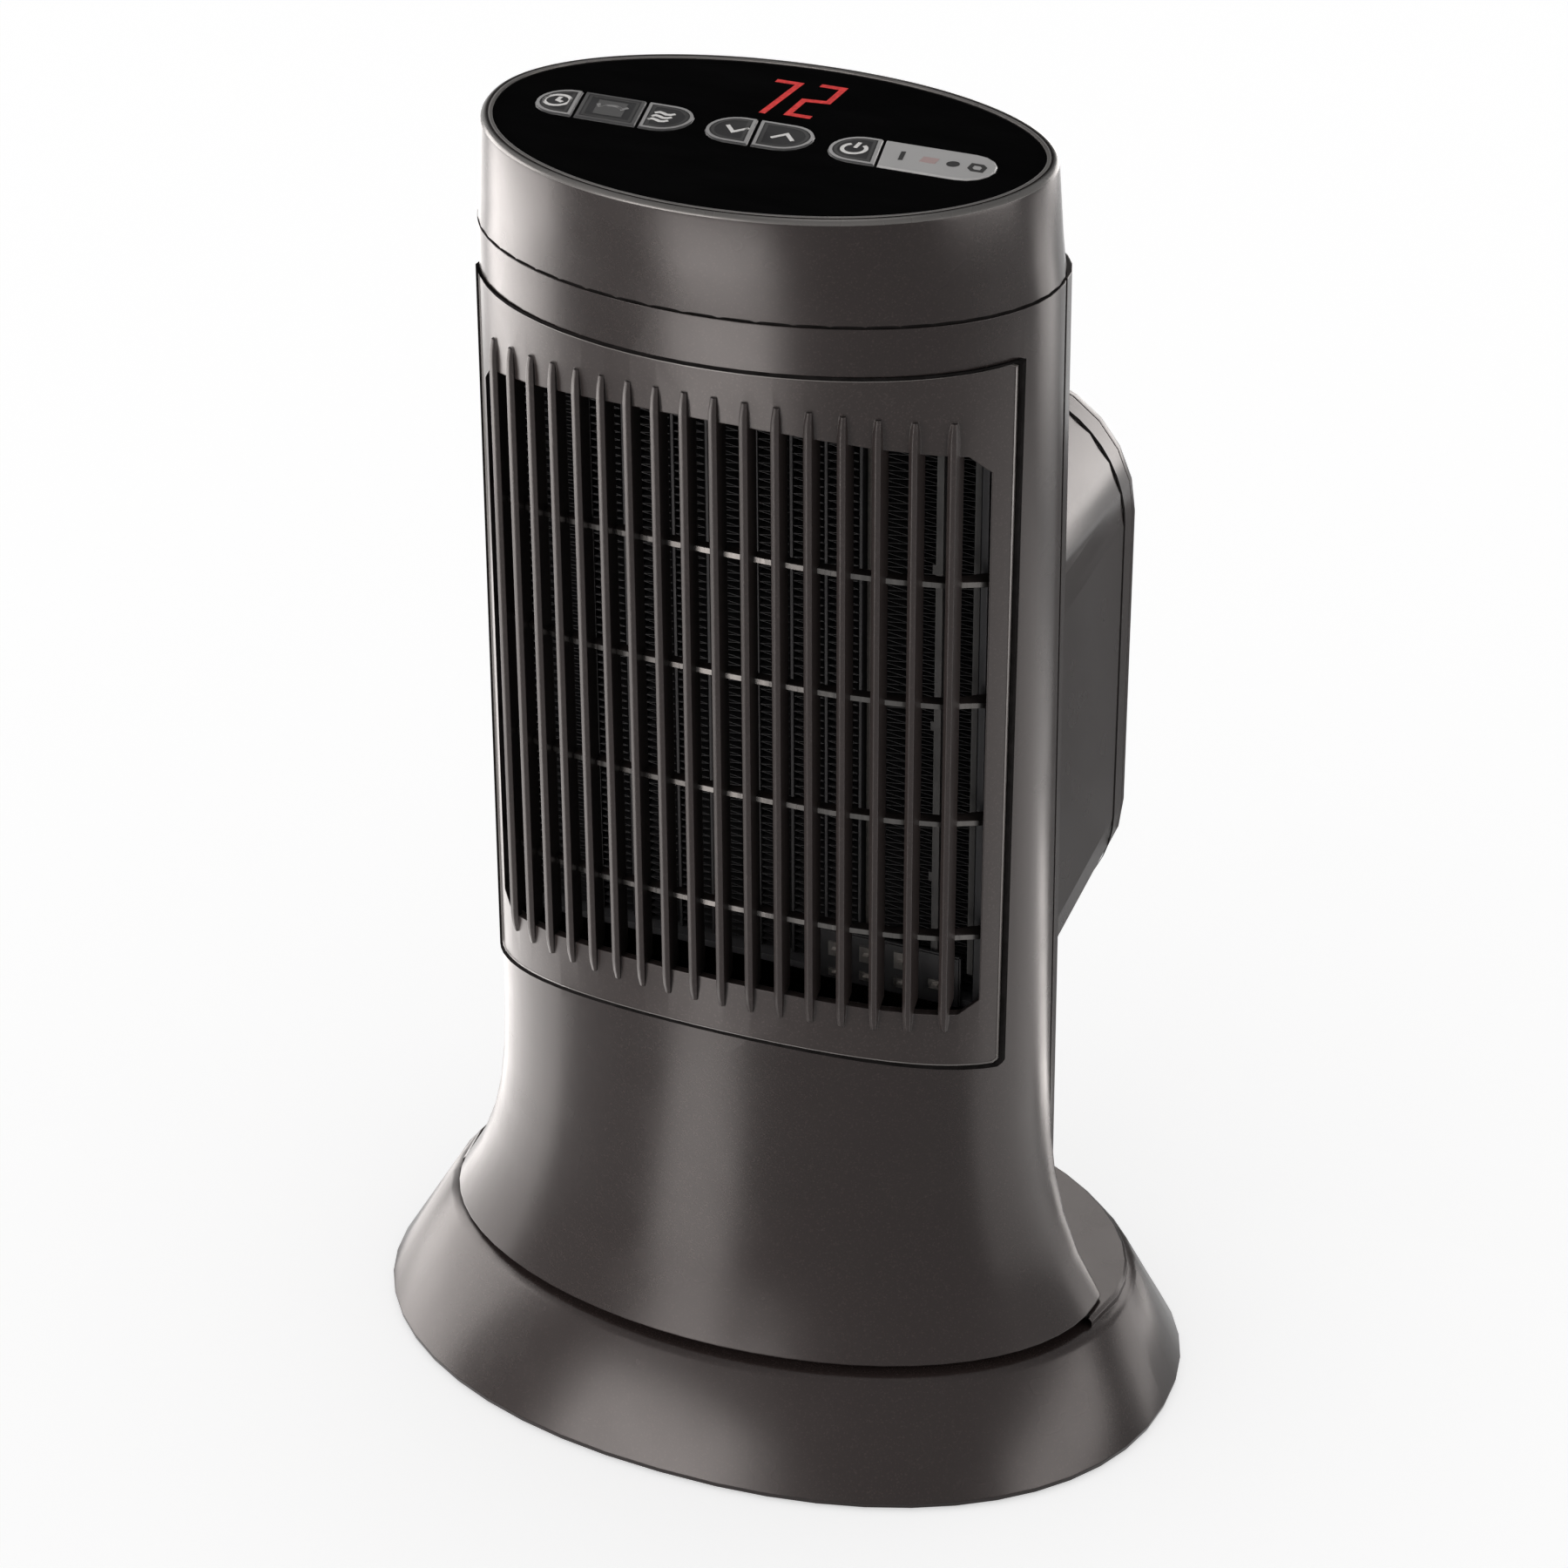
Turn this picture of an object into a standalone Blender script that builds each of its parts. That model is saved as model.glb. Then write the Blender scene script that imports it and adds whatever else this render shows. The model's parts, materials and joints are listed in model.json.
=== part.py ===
"""A compact ceramic tower heater that swings on an oval base, as an assembly of separate pieces.

Metres, +Z up. The origin is on the floor under the middle of the base, and warm air leaves towards -Y.
"""

import math

import bmesh
import bpy
from mathutils import Matrix, Vector

# Clearances and cutter overrun
SEAT_GAP = 0.0003
RUN_GAP = 0.0006
OVERRUN = 0.006

# Base
BASE_HALF_WIDTH = 0.1300
BASE_HALF_DEPTH = 0.0914
BASE_SQUARENESS_SHARE = 2.16
BASE_LIFT = 0.0005
BASE_EDGE = 0.0024
BASE_WALL = 0.0025
RIM_HALF_WIDTH = 0.1132
RIM_CENTRE = 0.0061
RIM_FRONT = 0.0760
RIM_REAR = 0.0745
RIM_ROUND = 0.0020
LEDGE_HEIGHT = 0.0325
DECK_RISE = 0.0030
DECK_ROUND = 0.0010
DECK_INSET = 0.0045
DECK_HORN_Y = -0.0099
DECK_NOTCH_X = 0.1050
DECK_NOTCH_Y = 0.0070

# Base plate and feet
PLATE_HEIGHT = 0.0022
PLATE_THICKNESS = 0.0020
FOOT_RADIUS = 0.0090
FOOT_STUD_RADIUS = 0.0035
FOOT_STUD_LENGTH = 0.0030
FOOT_SIDE_INSET = 0.0440
FOOT_END_INSET = 0.0394
VENT_LENGTH = 0.0300
VENT_WIDTH = 0.0030
VENT_PITCH = 0.0080
VENT_COUNT = 5

# Tower outline
TOWER_Y = -0.0040
SEAM_SETBACK = 0.0070
SKIRT_HEIGHT = 0.0368
WAIST_HEIGHT = 0.1350
CAP_DEPTH = 0.0325
TOP_HEIGHT = 0.4040
TOP_LEAN_SHARE = 0.030
SKIRT_HALF_WIDTH = 0.1074
SKIRT_FRONT = 0.0656
WAIST_HALF_WIDTH = 0.0883
TOWER_TOP_HALF_WIDTH = 0.0863
TOWER_FRONT = 0.0560
TOWER_REAR = 0.0500
RIM_TOP_HALF_WIDTH = 0.0833
RIM_TOP_FRONT = 0.0583
RIM_TOP_REAR = 0.0476
FLARE_CURVE_SHARE = 3.65
TOWER_WALL = 0.0025
EDGE_ROUND = 0.0025
REAR_STEP = 0.0005

# Front air outlet
FRAME_HALF_WIDTH = 0.0823
FRAME_TOP_DROP = 0.0149
FRAME_FOOT = 0.1443
FRAME_CORNER = 0.0012
FRAME_SIDE = 0.0048
FRAME_HEAD = 0.0155
FRAME_SILL = 0.0177
OPENING_CORNER = 0.0048
ARCH_WIDTH = 0.0800
ARCH_DROP = 0.0115
BLADE_COUNT = 17
BLADE_PITCH = 0.0087
BLADE_WIDTH = 0.0025
BLADE_PROUD = 0.0020
BLADE_BACK = 0.0045
BLADE_TOP_LAP = 0.0072
BLADE_FOOT_LAP = 0.0082
BLADE_TIP = 0.0066
BLADE_END_DEPTH_SHARE = 0.42
BLADE_END_WIDTH_SHARE = 0.66
BLADE_SHOULDER_DEPTH_SHARE = 0.84
BLADE_SHOULDER_WIDTH_SHARE = 0.90
BLADE_ARCH_DROP = 0.0080
RIB_COUNT = 4
RIB_FOOT_MARGIN = 0.0245
RIB_TOP_MARGIN = 0.0406
RIB_THICKNESS = 0.0016
RIB_FRONT_INSET = 0.0022
RIB_BACK_INSET = 0.0055
RIB_LAP = 0.0013
RIB_STEPS = 14

# Rear housing
HUMP_FRONT_HALF_WIDTH = 0.0855
HUMP_HALF_WIDTH = 0.0790
HUMP_REAR_Y = 0.0840
HUMP_TOP_DROP = 0.0695
HUMP_HEIGHT = 0.1800
HUMP_CORNER = 0.0400
HUMP_DRAFT = 0.0020
COVER_THICKNESS = 0.0052
COVER_ROUND = 0.0030
COVER_SKIN = 0.0022
SLOT_MARGIN = 0.0120
SLOT_HEIGHT = 0.0046
SLOT_PITCH = 0.0092
SLOT_COUNT = 16
SLOT_BRIDGE = 0.0040
FILTER_THICKNESS = 0.0022
FILTER_BORDER = 0.0050
FILTER_BAR = 0.0030
FILTER_COLUMNS = 3
FILTER_ROWS = 3
CATCH_WIDTH = 0.0120
CATCH_LENGTH = 0.0080
CATCH_THICKNESS = 0.0018
CATCH_OFFSET = 0.0450

# Top cap, panel and keys
BEAD_ROUND = 0.0022
PANEL_INSET = 0.0030
PANEL_THICKNESS = 0.0026
PANEL_DROP = 0.0003
SHELF_THICKNESS = 0.0022
SHELF_WIDTH = 0.0045
PILL_DEPTH = 0.0170
PILL_Y = -0.0084
PILLS = ((-0.0684, -0.0210), (-0.0164, 0.0153), (0.0203, 0.0687))
LEFT_KEY_SPLITS = (-0.0558, -0.0362)
MIDDLE_KEY_SPLIT = -0.0022
LENS_SPLIT = 0.0352
KEY_SPLIT_GAP = 0.0008
KEY_SPLIT_LEAN_SHARE = 0.25
KEY_PROUD = 0.0004
KEY_TRAVEL = 0.0008
KEY_EDGE = 0.0004
KEY_TAB = 0.0009
KEY_TAB_THICKNESS = 0.0008
KEY_TAB_MARGIN = 0.0032
BOARD_HALF_WIDTH = 0.0660
BOARD_FRONT_Y = -0.0310
BOARD_REAR_Y = 0.0180
BOARD_THICKNESS = 0.0016
BOARD_DROP = 0.0042
SWITCH_SIZE = 0.0060
POST_RADIUS = 0.0022
POST_MARGIN = 0.0050
DISPLAY_LEFT_X = -0.0200
DISPLAY_RIGHT_X = 0.0160
DISPLAY_FRONT_Y = 0.0018
DISPLAY_REAR_Y = 0.0344
DISPLAY_THICKNESS = 0.0036

# Swivel
DECK_WALL = 0.0025
FLOOR_LIFT = 0.0007
FLOOR_THICKNESS = 0.0030
SPINDLE_RADIUS = 0.0160
SPINDLE_BORE = 0.0110
SPINDLE_FOOT = 0.0155
BEARING_INNER = 0.0380
BEARING_OUTER = 0.0460
CLIP_RADIUS = 0.0220
CLIP_THICKNESS = 0.0020
GEAR_MODULE = 0.0010
GEAR_TEETH = 48
PINION_TEETH = 12
SECTOR_TEETH = 17
GEAR_FOOT = 0.0162
GEAR_THICKNESS = 0.0040
GEAR_HUB_WALL = 0.0030
PRESSURE_ANGLE = math.radians(25.0)
TOOTH_ADDENDUM_SHARE = 0.80
TOOTH_DEDENDUM_SHARE = 1.15
TOOTH_WIDTH_SHARE = 0.42
PINION_SHAFT = 0.0022
SWING_MOTOR_RADIUS = 0.0230
SWING_MOTOR_HEIGHT = 0.0100
SWING_MOTOR_BORE_DEPTH = 0.0040

# Tip-over switch and cord gland
TIP_X = -0.0620
TIP_Y = 0.0260
TIP_PIN_RADIUS = 0.0026
TIP_FLANGE_RADIUS = 0.0048
TIP_FLANGE_HEIGHT = 0.0105
TIP_FLANGE_THICKNESS = 0.0015
TIP_PIN_TOP = 0.0165
TIP_CASE_HALF = 0.0075
TIP_CASE_TOP = 0.0220
TIP_CASE_ROOF = 0.0035
GLAND_X = -0.0300
GLAND_Z = 0.0150
GLAND_RADIUS = 0.0048
GLAND_COLLAR_RADIUS = 0.0070
GLAND_COLLAR = 0.0022
GLAND_LENGTH = 0.0110
GLAND_MOUTH_RADIUS = 0.0034
GLAND_MOUTH_DEPTH = 0.0020

# Heater core
CORE_HALF_WIDTH = 0.0745
CORE_FRONT_Y = -0.0228
CORE_REAR_Y = -0.0028
CORE_TOP_LAP = 0.0049
CORE_FOOT_LAP = 0.0150
CORE_WALL = 0.0022
CORE_LIP = 0.0090
CORE_LIP_THICKNESS = 0.0030
FIN_PACK_COUNT = 4
FIN_PACK_GAP = 0.0040
FIN_PACK_DEPTH = 0.0130
FIN_COUNT = 14
FIN_THICKNESS = 0.0022
FIN_SPINE = 0.0030
PTC_DEPTH = 0.0100
CUTOUT_X = 0.0400
CUTOUT_RADIUS = 0.0080
CUTOUT_HEIGHT = 0.0050
CUTOUT_TAB = 0.0110

# Blower
FAN_RADIUS = 0.0630
FAN_HUB_RADIUS = 0.0190
FAN_FRONT_Y = 0.0430
FAN_DEPTH = 0.0170
FAN_HUB_WALL = 0.0020
FAN_BOSS_RADIUS = 0.0060
FAN_BLADES = 7
FAN_SECTIONS = 4
FAN_CHORD_POINTS = 3
FAN_BLADE_THICKNESS = 0.0016
FAN_MIDDLE_SHARE = 1.1
FAN_TAPER_SHARE = 1.2
FAN_CAMBER = 0.0022
FAN_ROOT_TILT = math.radians(48.0)
FAN_TIP_TILT = math.radians(28.0)
FAN_ROOT_CHORD = 0.0170
FAN_TIP_CHORD = 0.0330
SHAFT_RADIUS = 0.0025
SHROUD_Y = 0.0380
SHROUD_THICKNESS = 0.0020
SHROUD_THROAT = 0.0648
SHROUD_WALL = 0.0020
SHROUD_DEPTH = 0.0240
MOTOR_RADIUS = 0.0240
MOTOR_LENGTH = 0.0260
MOTOR_BOSS_RADIUS = 0.0090
MOTOR_BOSS_LENGTH = 0.0020
MOUNT_RING_WALL = 0.0030
MOUNT_RING_DEPTH = 0.0070
MOUNT_ARM_WIDTH = 0.0070
MOUNT_ARM_THICKNESS = 0.0030
MOUNT_ARM_LAP = 0.0050
MOUNT_ARMS = 4

# Power board
POWER_BOARD_HALF_WIDTH = 0.0420
POWER_BOARD_HEIGHT = 0.0620
POWER_BOARD_Y = 0.0200
RELAY_WIDTH = 0.0180
RELAY_DEPTH = 0.0120
RELAY_HEIGHT = 0.0160
RELAY_OFFSET = 0.0200
RELAY_COUNT = 2

# Counts of points
OVAL_POINTS = 52
FRONT_POINTS = 32
CORNER_POINTS = 3
ARCH_POINTS = 10
FLARE_RINGS = 7
ROUND_POINTS = 28
SMALL_ROUND_POINTS = 14
SMOOTH_ANGLE = math.radians(32.0)

# Values that follow from the sizes above
SEAM_Y = TOWER_Y + SEAM_SETBACK
FOOT_ACROSS = BASE_HALF_WIDTH - FOOT_SIDE_INSET
FOOT_ALONG = BASE_HALF_DEPTH - FOOT_END_INSET
CAP_HEIGHT = TOP_HEIGHT - CAP_DEPTH
FRAME_TOP = CAP_HEIGHT - FRAME_TOP_DROP
OPENING_HALF_WIDTH = FRAME_HALF_WIDTH - FRAME_SIDE
OPENING_TOP = FRAME_TOP - FRAME_HEAD
OPENING_FOOT = FRAME_FOOT + FRAME_SILL
BLADE_TOP = OPENING_TOP + BLADE_TOP_LAP
BLADE_FOOT = OPENING_FOOT - BLADE_FOOT_LAP
HUMP_TOP = CAP_HEIGHT - HUMP_TOP_DROP
HUMP_FOOT = HUMP_TOP - HUMP_HEIGHT
FAN_HEIGHT = HUMP_TOP - HUMP_HEIGHT / 2
CORE_TOP = OPENING_TOP + CORE_TOP_LAP
CORE_FOOT = OPENING_FOOT - CORE_FOOT_LAP
DECK_HEIGHT = LEDGE_HEIGHT + DECK_RISE
FLOOR_HEIGHT = SKIRT_HEIGHT + FLOOR_LIFT
PLATE_TOP = PLATE_HEIGHT + PLATE_THICKNESS
PANEL_TILT = Matrix.Translation((0, TOWER_Y, TOP_HEIGHT)) @ Matrix.Rotation(
    math.atan(TOP_LEAN_SHARE), 4, "X"
)
GEAR_RADIUS = GEAR_MODULE * GEAR_TEETH / 2
PINION_RADIUS = GEAR_MODULE * PINION_TEETH / 2
PINION_Y = TOWER_Y + GEAR_RADIUS + PINION_RADIUS


def clear_scene():
    for item in list(bpy.data.objects):
        bpy.data.objects.remove(item)


def plastic(name, colour, roughness, metallic=0.0):
    material = bpy.data.materials.new(name)
    material.use_nodes = True
    shader = material.node_tree.nodes["Principled BSDF"]
    shader.inputs["Base Color"].default_value = (*colour, 1.0)
    shader.inputs["Roughness"].default_value = roughness
    shader.inputs["Metallic"].default_value = metallic
    material.diffuse_color = (*colour, 1.0)
    return material


# Building blocks
def add_object(name, mesh_data):
    """Closes up a bmesh as an object of the scene, with its faces pointing out."""
    bmesh.ops.recalc_face_normals(mesh_data, faces=mesh_data.faces)
    mesh = bpy.data.meshes.new(name)
    mesh_data.to_mesh(mesh)
    mesh_data.free()
    item = bpy.data.objects.new(name, mesh)
    bpy.context.scene.collection.objects.link(item)
    return item


def loft(name, rings, closed=False):
    """Skins rings of equal point counts. A closed loft joins its last ring to its first."""
    skin = bmesh.new()
    rows = [[skin.verts.new(point) for point in ring] for ring in rings]
    pairs = list(zip(rows, rows[1:]))
    if closed:
        pairs.append((rows[-1], rows[0]))
    for lower, upper in pairs:
        count = len(lower)
        for i in range(count):
            j = (i + 1) % count
            skin.faces.new((lower[i], lower[j], upper[j], upper[i]))
    if not closed:
        skin.faces.new(rows[0])
        skin.faces.new(rows[-1])
    return add_object(name, skin)


def combine(target, tool, operation):
    """Applies one exact Boolean to the target and drops the tool."""
    step = target.modifiers.new("step", "BOOLEAN")
    step.operation = operation
    step.solver = "EXACT"
    step.object = tool
    graph = bpy.context.evaluated_depsgraph_get()
    result = bpy.data.meshes.new_from_object(target.evaluated_get(graph))
    target.modifiers.clear()
    former = target.data
    target.data = result
    bpy.data.meshes.remove(former)
    bpy.data.objects.remove(tool)
    return target


def cut(target, *tools):
    for tool in tools:
        combine(target, tool, "DIFFERENCE")
    return target


def join(target, *tools):
    for tool in tools:
        combine(target, tool, "UNION")
    return target


def common(target, tool):
    return combine(target, tool, "INTERSECT")


def gather(name, items):
    """Puts objects that don't touch each other into one tool for a Boolean."""
    merged = bmesh.new()
    for item in items:
        merged.from_mesh(item.data)
        bpy.data.objects.remove(item)
    return add_object(name, merged)


def move(item, matrix):
    item.data.transform(matrix)
    return item


def box(name, low, high):
    low, high = Vector(low), Vector(high)
    ring = [(low.x, low.y), (high.x, low.y), (high.x, high.y), (low.x, high.y)]
    return loft(name, [[(x, y, z) for x, y in ring] for z in (low.z, high.z)])


def level_prism(name, outline, low, high):
    return loft(name, [[(x, y, z) for x, y in outline] for z in (low, high)])


def facing_prism(name, outline, front, rear):
    """A prism along Y whose outline is given in X and Z."""
    return loft(name, [[(x, y, z) for x, z in outline] for y in (front, rear)])


def circle(radius, count, centre=(0, 0)):
    turns = [2 * math.pi * i / count for i in range(count)]
    return [(centre[0] + radius * math.cos(t), centre[1] + radius * math.sin(t)) for t in turns]


def upright_disc(name, radius, low, high, centre=(0, 0), count=ROUND_POINTS):
    return level_prism(name, circle(radius, count, centre), low, high)


def facing_disc(name, radius, front, rear, centre=(0, 0), count=ROUND_POINTS):
    return facing_prism(name, circle(radius, count, centre), front, rear)


def turned(name, profile, count=ROUND_POINTS):
    """A closed profile of (radius, height) turned about the Z axis."""
    return loft(name, [[(x, y, z) for x, y in circle(r, count)] for r, z in profile], closed=True)


def rounded_outline(half_width, low, high, radius, steps=6):
    """A rectangle in X and Z with round corners."""
    points = []
    corners = (
        (half_width - radius, low + radius, -90),
        (half_width - radius, high - radius, 0),
        (radius - half_width, high - radius, 90),
        (radius - half_width, low + radius, 180),
    )
    for x, z, start in corners:
        for i in range(steps + 1):
            turn = math.radians(start + 90 * i / steps)
            points.append((x + radius * math.cos(turn), z + radius * math.sin(turn)))
    return points


# Tower outline
def oval(half_width, front, rear, centre, height, lean=0.0, squareness=2.0, count=OVAL_POINTS):
    """One level ring of an oval with unlike front and rear halves. A lean raises its rear."""
    bend = 2 / squareness
    ring = []
    for i in range(count):
        turn = 2 * math.pi * i / count
        across, along = math.cos(turn), math.sin(turn)
        depth = front if along < 0 else rear
        x = half_width * math.copysign(abs(across) ** bend, across)
        y = depth * math.copysign(abs(along) ** bend, along)
        ring.append(Vector((x, centre + y, height + lean * y)))
    return ring


def straight_half_width(height):
    share = (height - WAIST_HEIGHT) / (CAP_HEIGHT - WAIST_HEIGHT)
    return WAIST_HALF_WIDTH + share * (TOWER_TOP_HALF_WIDTH - WAIST_HALF_WIDTH)


def flare_share(height):
    if height >= WAIST_HEIGHT:
        return 0.0
    return ((WAIST_HEIGHT - height) / (WAIST_HEIGHT - SKIRT_HEIGHT)) ** FLARE_CURVE_SHARE


def front_size(height):
    """Half width and front depth of the front shell at a height, skirt flare included."""
    share = flare_share(height)
    half = straight_half_width(height)
    half += share * (SKIRT_HALF_WIDTH - straight_half_width(SKIRT_HEIGHT))
    return half, TOWER_FRONT + share * (SKIRT_FRONT - TOWER_FRONT)


def front_y(x, height, inset=0.0):
    """Where the front surface, or one inset from it, lies at a place across."""
    half, depth = front_size(height)
    reach = min(abs(x) / (half - inset), 1.0)
    return TOWER_Y - (depth - inset) * math.sqrt(1 - reach * reach)


def arch(x, drop=ARCH_DROP):
    return -drop * (x / ARCH_WIDTH) ** 2


def front_ring(height, inset):
    """The front shell's plan at a height: an elliptic front, round rear corners and a straight back."""
    half, depth = front_size(height)
    half, depth, back = half - inset, depth - inset, SEAM_Y - inset
    radius = EDGE_ROUND
    ring = []
    for i in range(FRONT_POINTS + 1):
        turn = math.pi * i / FRONT_POINTS
        ring.append((half * math.cos(turn), TOWER_Y - depth * math.sin(turn), height))
    for side, start in ((-1, 180), (1, 90)):
        for i in range(CORNER_POINTS + 1):
            turn = math.radians(start - 90 * i / CORNER_POINTS)
            x = side * (half - radius) + radius * math.cos(turn)
            y = back - radius + radius * math.sin(turn)
            ring.append((x, y, height))
    return ring


def front_levels(low, high):
    flare = [
        low + (WAIST_HEIGHT - low) * i / FLARE_RINGS for i in range(FLARE_RINGS)
    ]
    return flare + [WAIST_HEIGHT, high]


def frame_outline(half_width, low, high, corner, grow=0.0):
    """The outlet's arched outline in X and Z, grown outwards on every side."""
    half, radius = half_width + grow, corner + grow
    foot, top = low - grow, high + grow
    points = []
    for i in range(ARCH_POINTS + 1):
        x = (half - radius) * (2 * i / ARCH_POINTS - 1)
        points.append((x, foot + arch(x)))
    points.append((half, foot + arch(half) + radius))
    points.append((half, top + arch(half) * (high == OPENING_TOP) - radius))
    for i in range(ARCH_POINTS + 1):
        x = (half - radius) * (1 - 2 * i / ARCH_POINTS)
        points.append((x, top + arch(x) * (high == OPENING_TOP)))
    points.append((-half, top + arch(half) * (high == OPENING_TOP) - radius))
    points.append((-half, foot + arch(half) + radius))
    return points


def outlet_cutter(name, grow):
    outline = frame_outline(FRAME_HALF_WIDTH, FRAME_FOOT, FRAME_TOP, FRAME_CORNER, grow)
    return facing_prism(name, outline, TOWER_Y - SKIRT_FRONT - OVERRUN, CORE_FRONT_Y + OVERRUN)


def front_tube(name, low, high):
    """The front shell's wall before its outlet is cut: outer skin less inner skin."""
    outer = loft(name, [front_ring(z, 0.0) for z in front_levels(low, high)])
    levels = front_levels(low, high)
    levels[0] -= OVERRUN
    levels[-1] += OVERRUN
    inner = loft("tool", [front_ring(z, TOWER_WALL) for z in levels])
    return cut(outer, inner)


# Front shell
def make_front_shell():
    top = CAP_HEIGHT - SEAT_GAP
    shell = front_tube("front_shell", SKIRT_HEIGHT, top)
    doorway = straight_half_width(top) - REAR_STEP - TOWER_WALL
    opening = box(
        "tool",
        (-doorway, SEAM_Y - TOWER_WALL - OVERRUN, SKIRT_HEIGHT - OVERRUN),
        (doorway, SEAM_Y + OVERRUN, top + OVERRUN),
    )
    return cut(shell, opening, outlet_cutter("tool", SEAT_GAP))


# Outlet grille
def blade(index):
    """One upright blade: narrow blunt ends that lap the frame, a ridged nose, and a deeper middle."""
    x = (index - (BLADE_COUNT - 1) / 2) * BLADE_PITCH
    top = BLADE_TOP + arch(x, BLADE_ARCH_DROP)
    foot = BLADE_FOOT + arch(x, BLADE_ARCH_DROP)
    proud, seat, half = BLADE_PROUD, TOWER_WALL / 2, BLADE_WIDTH / 2
    end = (proud * BLADE_END_DEPTH_SHARE, seat, half * BLADE_END_WIDTH_SHARE)
    shoulder = (proud * BLADE_SHOULDER_DEPTH_SHARE, seat, half * BLADE_SHOULDER_WIDTH_SHARE)
    sections = (
        (foot, *end),
        (foot + BLADE_TIP / 2, *shoulder),
        (foot + BLADE_TIP, proud, seat, half),
        (foot + BLADE_TIP + TOWER_WALL, proud, BLADE_BACK, half),
        (top - BLADE_TIP - TOWER_WALL, proud, BLADE_BACK, half),
        (top - BLADE_TIP, proud, seat, half),
        (top - BLADE_TIP / 2, *shoulder),
        (top, *end),
    )
    rings = []
    for z, ahead, behind, reach in sections:
        y = front_y(x, z)
        nose = y - ahead
        cheek = nose + reach / 2
        rings.append(
            [
                (x - reach, y + behind, z),
                (x - reach, cheek, z),
                (x, nose, z),
                (x + reach, cheek, z),
                (x + reach, y + behind, z),
            ]
        )
    return loft("blade", rings)


def rib(height):
    """One thin level rib behind the blades, bowed and arched like the outlet."""
    rings = []
    for i in range(RIB_STEPS + 1):
        x = (OPENING_HALF_WIDTH + RIB_LAP) * (2 * i / RIB_STEPS - 1)
        z = height + arch(x)
        front, back = front_y(x, z, RIB_FRONT_INSET), front_y(x, z, RIB_BACK_INSET)
        low, high = z - RIB_THICKNESS / 2, z + RIB_THICKNESS / 2
        rings.append([(x, front, low), (x, back, low), (x, back, high), (x, front, high)])
    return loft("rib", rings)


def rib_heights():
    low = OPENING_FOOT + RIB_FOOT_MARGIN
    pitch = (OPENING_TOP - RIB_TOP_MARGIN - low) / (RIB_COUNT - 1)
    return [low + i * pitch for i in range(RIB_COUNT)]


def make_outlet_grille():
    shell = front_tube("outlet_grille", SKIRT_HEIGHT, CAP_HEIGHT)
    grille = common(shell, outlet_cutter("tool", 0.0))
    outline = frame_outline(OPENING_HALF_WIDTH, OPENING_FOOT, OPENING_TOP, OPENING_CORNER)
    window = facing_prism("tool", outline, TOWER_Y - SKIRT_FRONT - OVERRUN, SEAM_Y)
    cut(grille, window)
    join(grille, gather("tool", [blade(i) for i in range(BLADE_COUNT)]))
    return join(grille, gather("tool", [rib(z) for z in rib_heights()]))


# Rear shell
def rear_ring(height, inset):
    """The rear shell's plan at a height: a straight front and an elliptic back."""
    half = straight_half_width(height) - REAR_STEP - inset
    depth = TOWER_Y + TOWER_REAR - SEAM_Y - SEAT_GAP - inset
    count = OVAL_POINTS // 2
    start = SEAM_Y + SEAT_GAP - (OVERRUN if inset else 0.0)
    ring = [(half, start, height)] if inset else []
    for i in range(count + 1):
        turn = math.pi * i / count
        x, y = half * math.cos(turn), depth * math.sin(turn)
        ring.append((x, SEAM_Y + SEAT_GAP + y, height))
    if inset:
        ring.append((-half, start, height))
    return ring


def hump_outline(y, inset):
    """The rear hump's section at a depth: a rounded rectangle that draws in towards the rear."""
    share = (y - SEAM_Y) / (HUMP_REAR_Y - SEAM_Y)
    half = HUMP_FRONT_HALF_WIDTH + share * (HUMP_HALF_WIDTH - HUMP_FRONT_HALF_WIDTH) - inset
    grow = (1 - share) * HUMP_DRAFT - inset
    return rounded_outline(half, HUMP_FOOT - grow, HUMP_TOP + grow, HUMP_CORNER - inset)


def hump_solid(name, front, rear, inset):
    rings = [[(x, y, z) for x, z in hump_outline(y, inset)] for y in (front, rear)]
    return loft(name, rings)


def make_rear_shell():
    top = CAP_HEIGHT - SEAT_GAP
    levels = (SKIRT_HEIGHT, WAIST_HEIGHT, top)
    shell = loft("rear_shell", [rear_ring(z, 0.0) for z in levels])
    front = SEAM_Y + EDGE_ROUND + OVERRUN
    join(shell, hump_solid("tool", front, HUMP_REAR_Y, 0.0))
    levels = (SKIRT_HEIGHT - OVERRUN, WAIST_HEIGHT, top + OVERRUN)
    cut(shell, loft("tool", [rear_ring(z, TOWER_WALL) for z in levels]))
    return cut(shell, hump_solid("tool", front, HUMP_REAR_Y + OVERRUN, TOWER_WALL))


# Rear cover and dust filter
def slot_half_width(z):
    """How far the intake slots reach at a height, inside the cover's round corners."""
    half, radius = HUMP_HALF_WIDTH - SLOT_MARGIN, HUMP_CORNER - SLOT_MARGIN
    low, high = HUMP_FOOT + HUMP_CORNER, HUMP_TOP - HUMP_CORNER
    beyond = max(low - z, z - high, 0.0) + SLOT_HEIGHT / 2
    if beyond <= SLOT_HEIGHT / 2:
        return half
    return half - radius + math.sqrt(max(radius * radius - beyond * beyond, 0.0))


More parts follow.
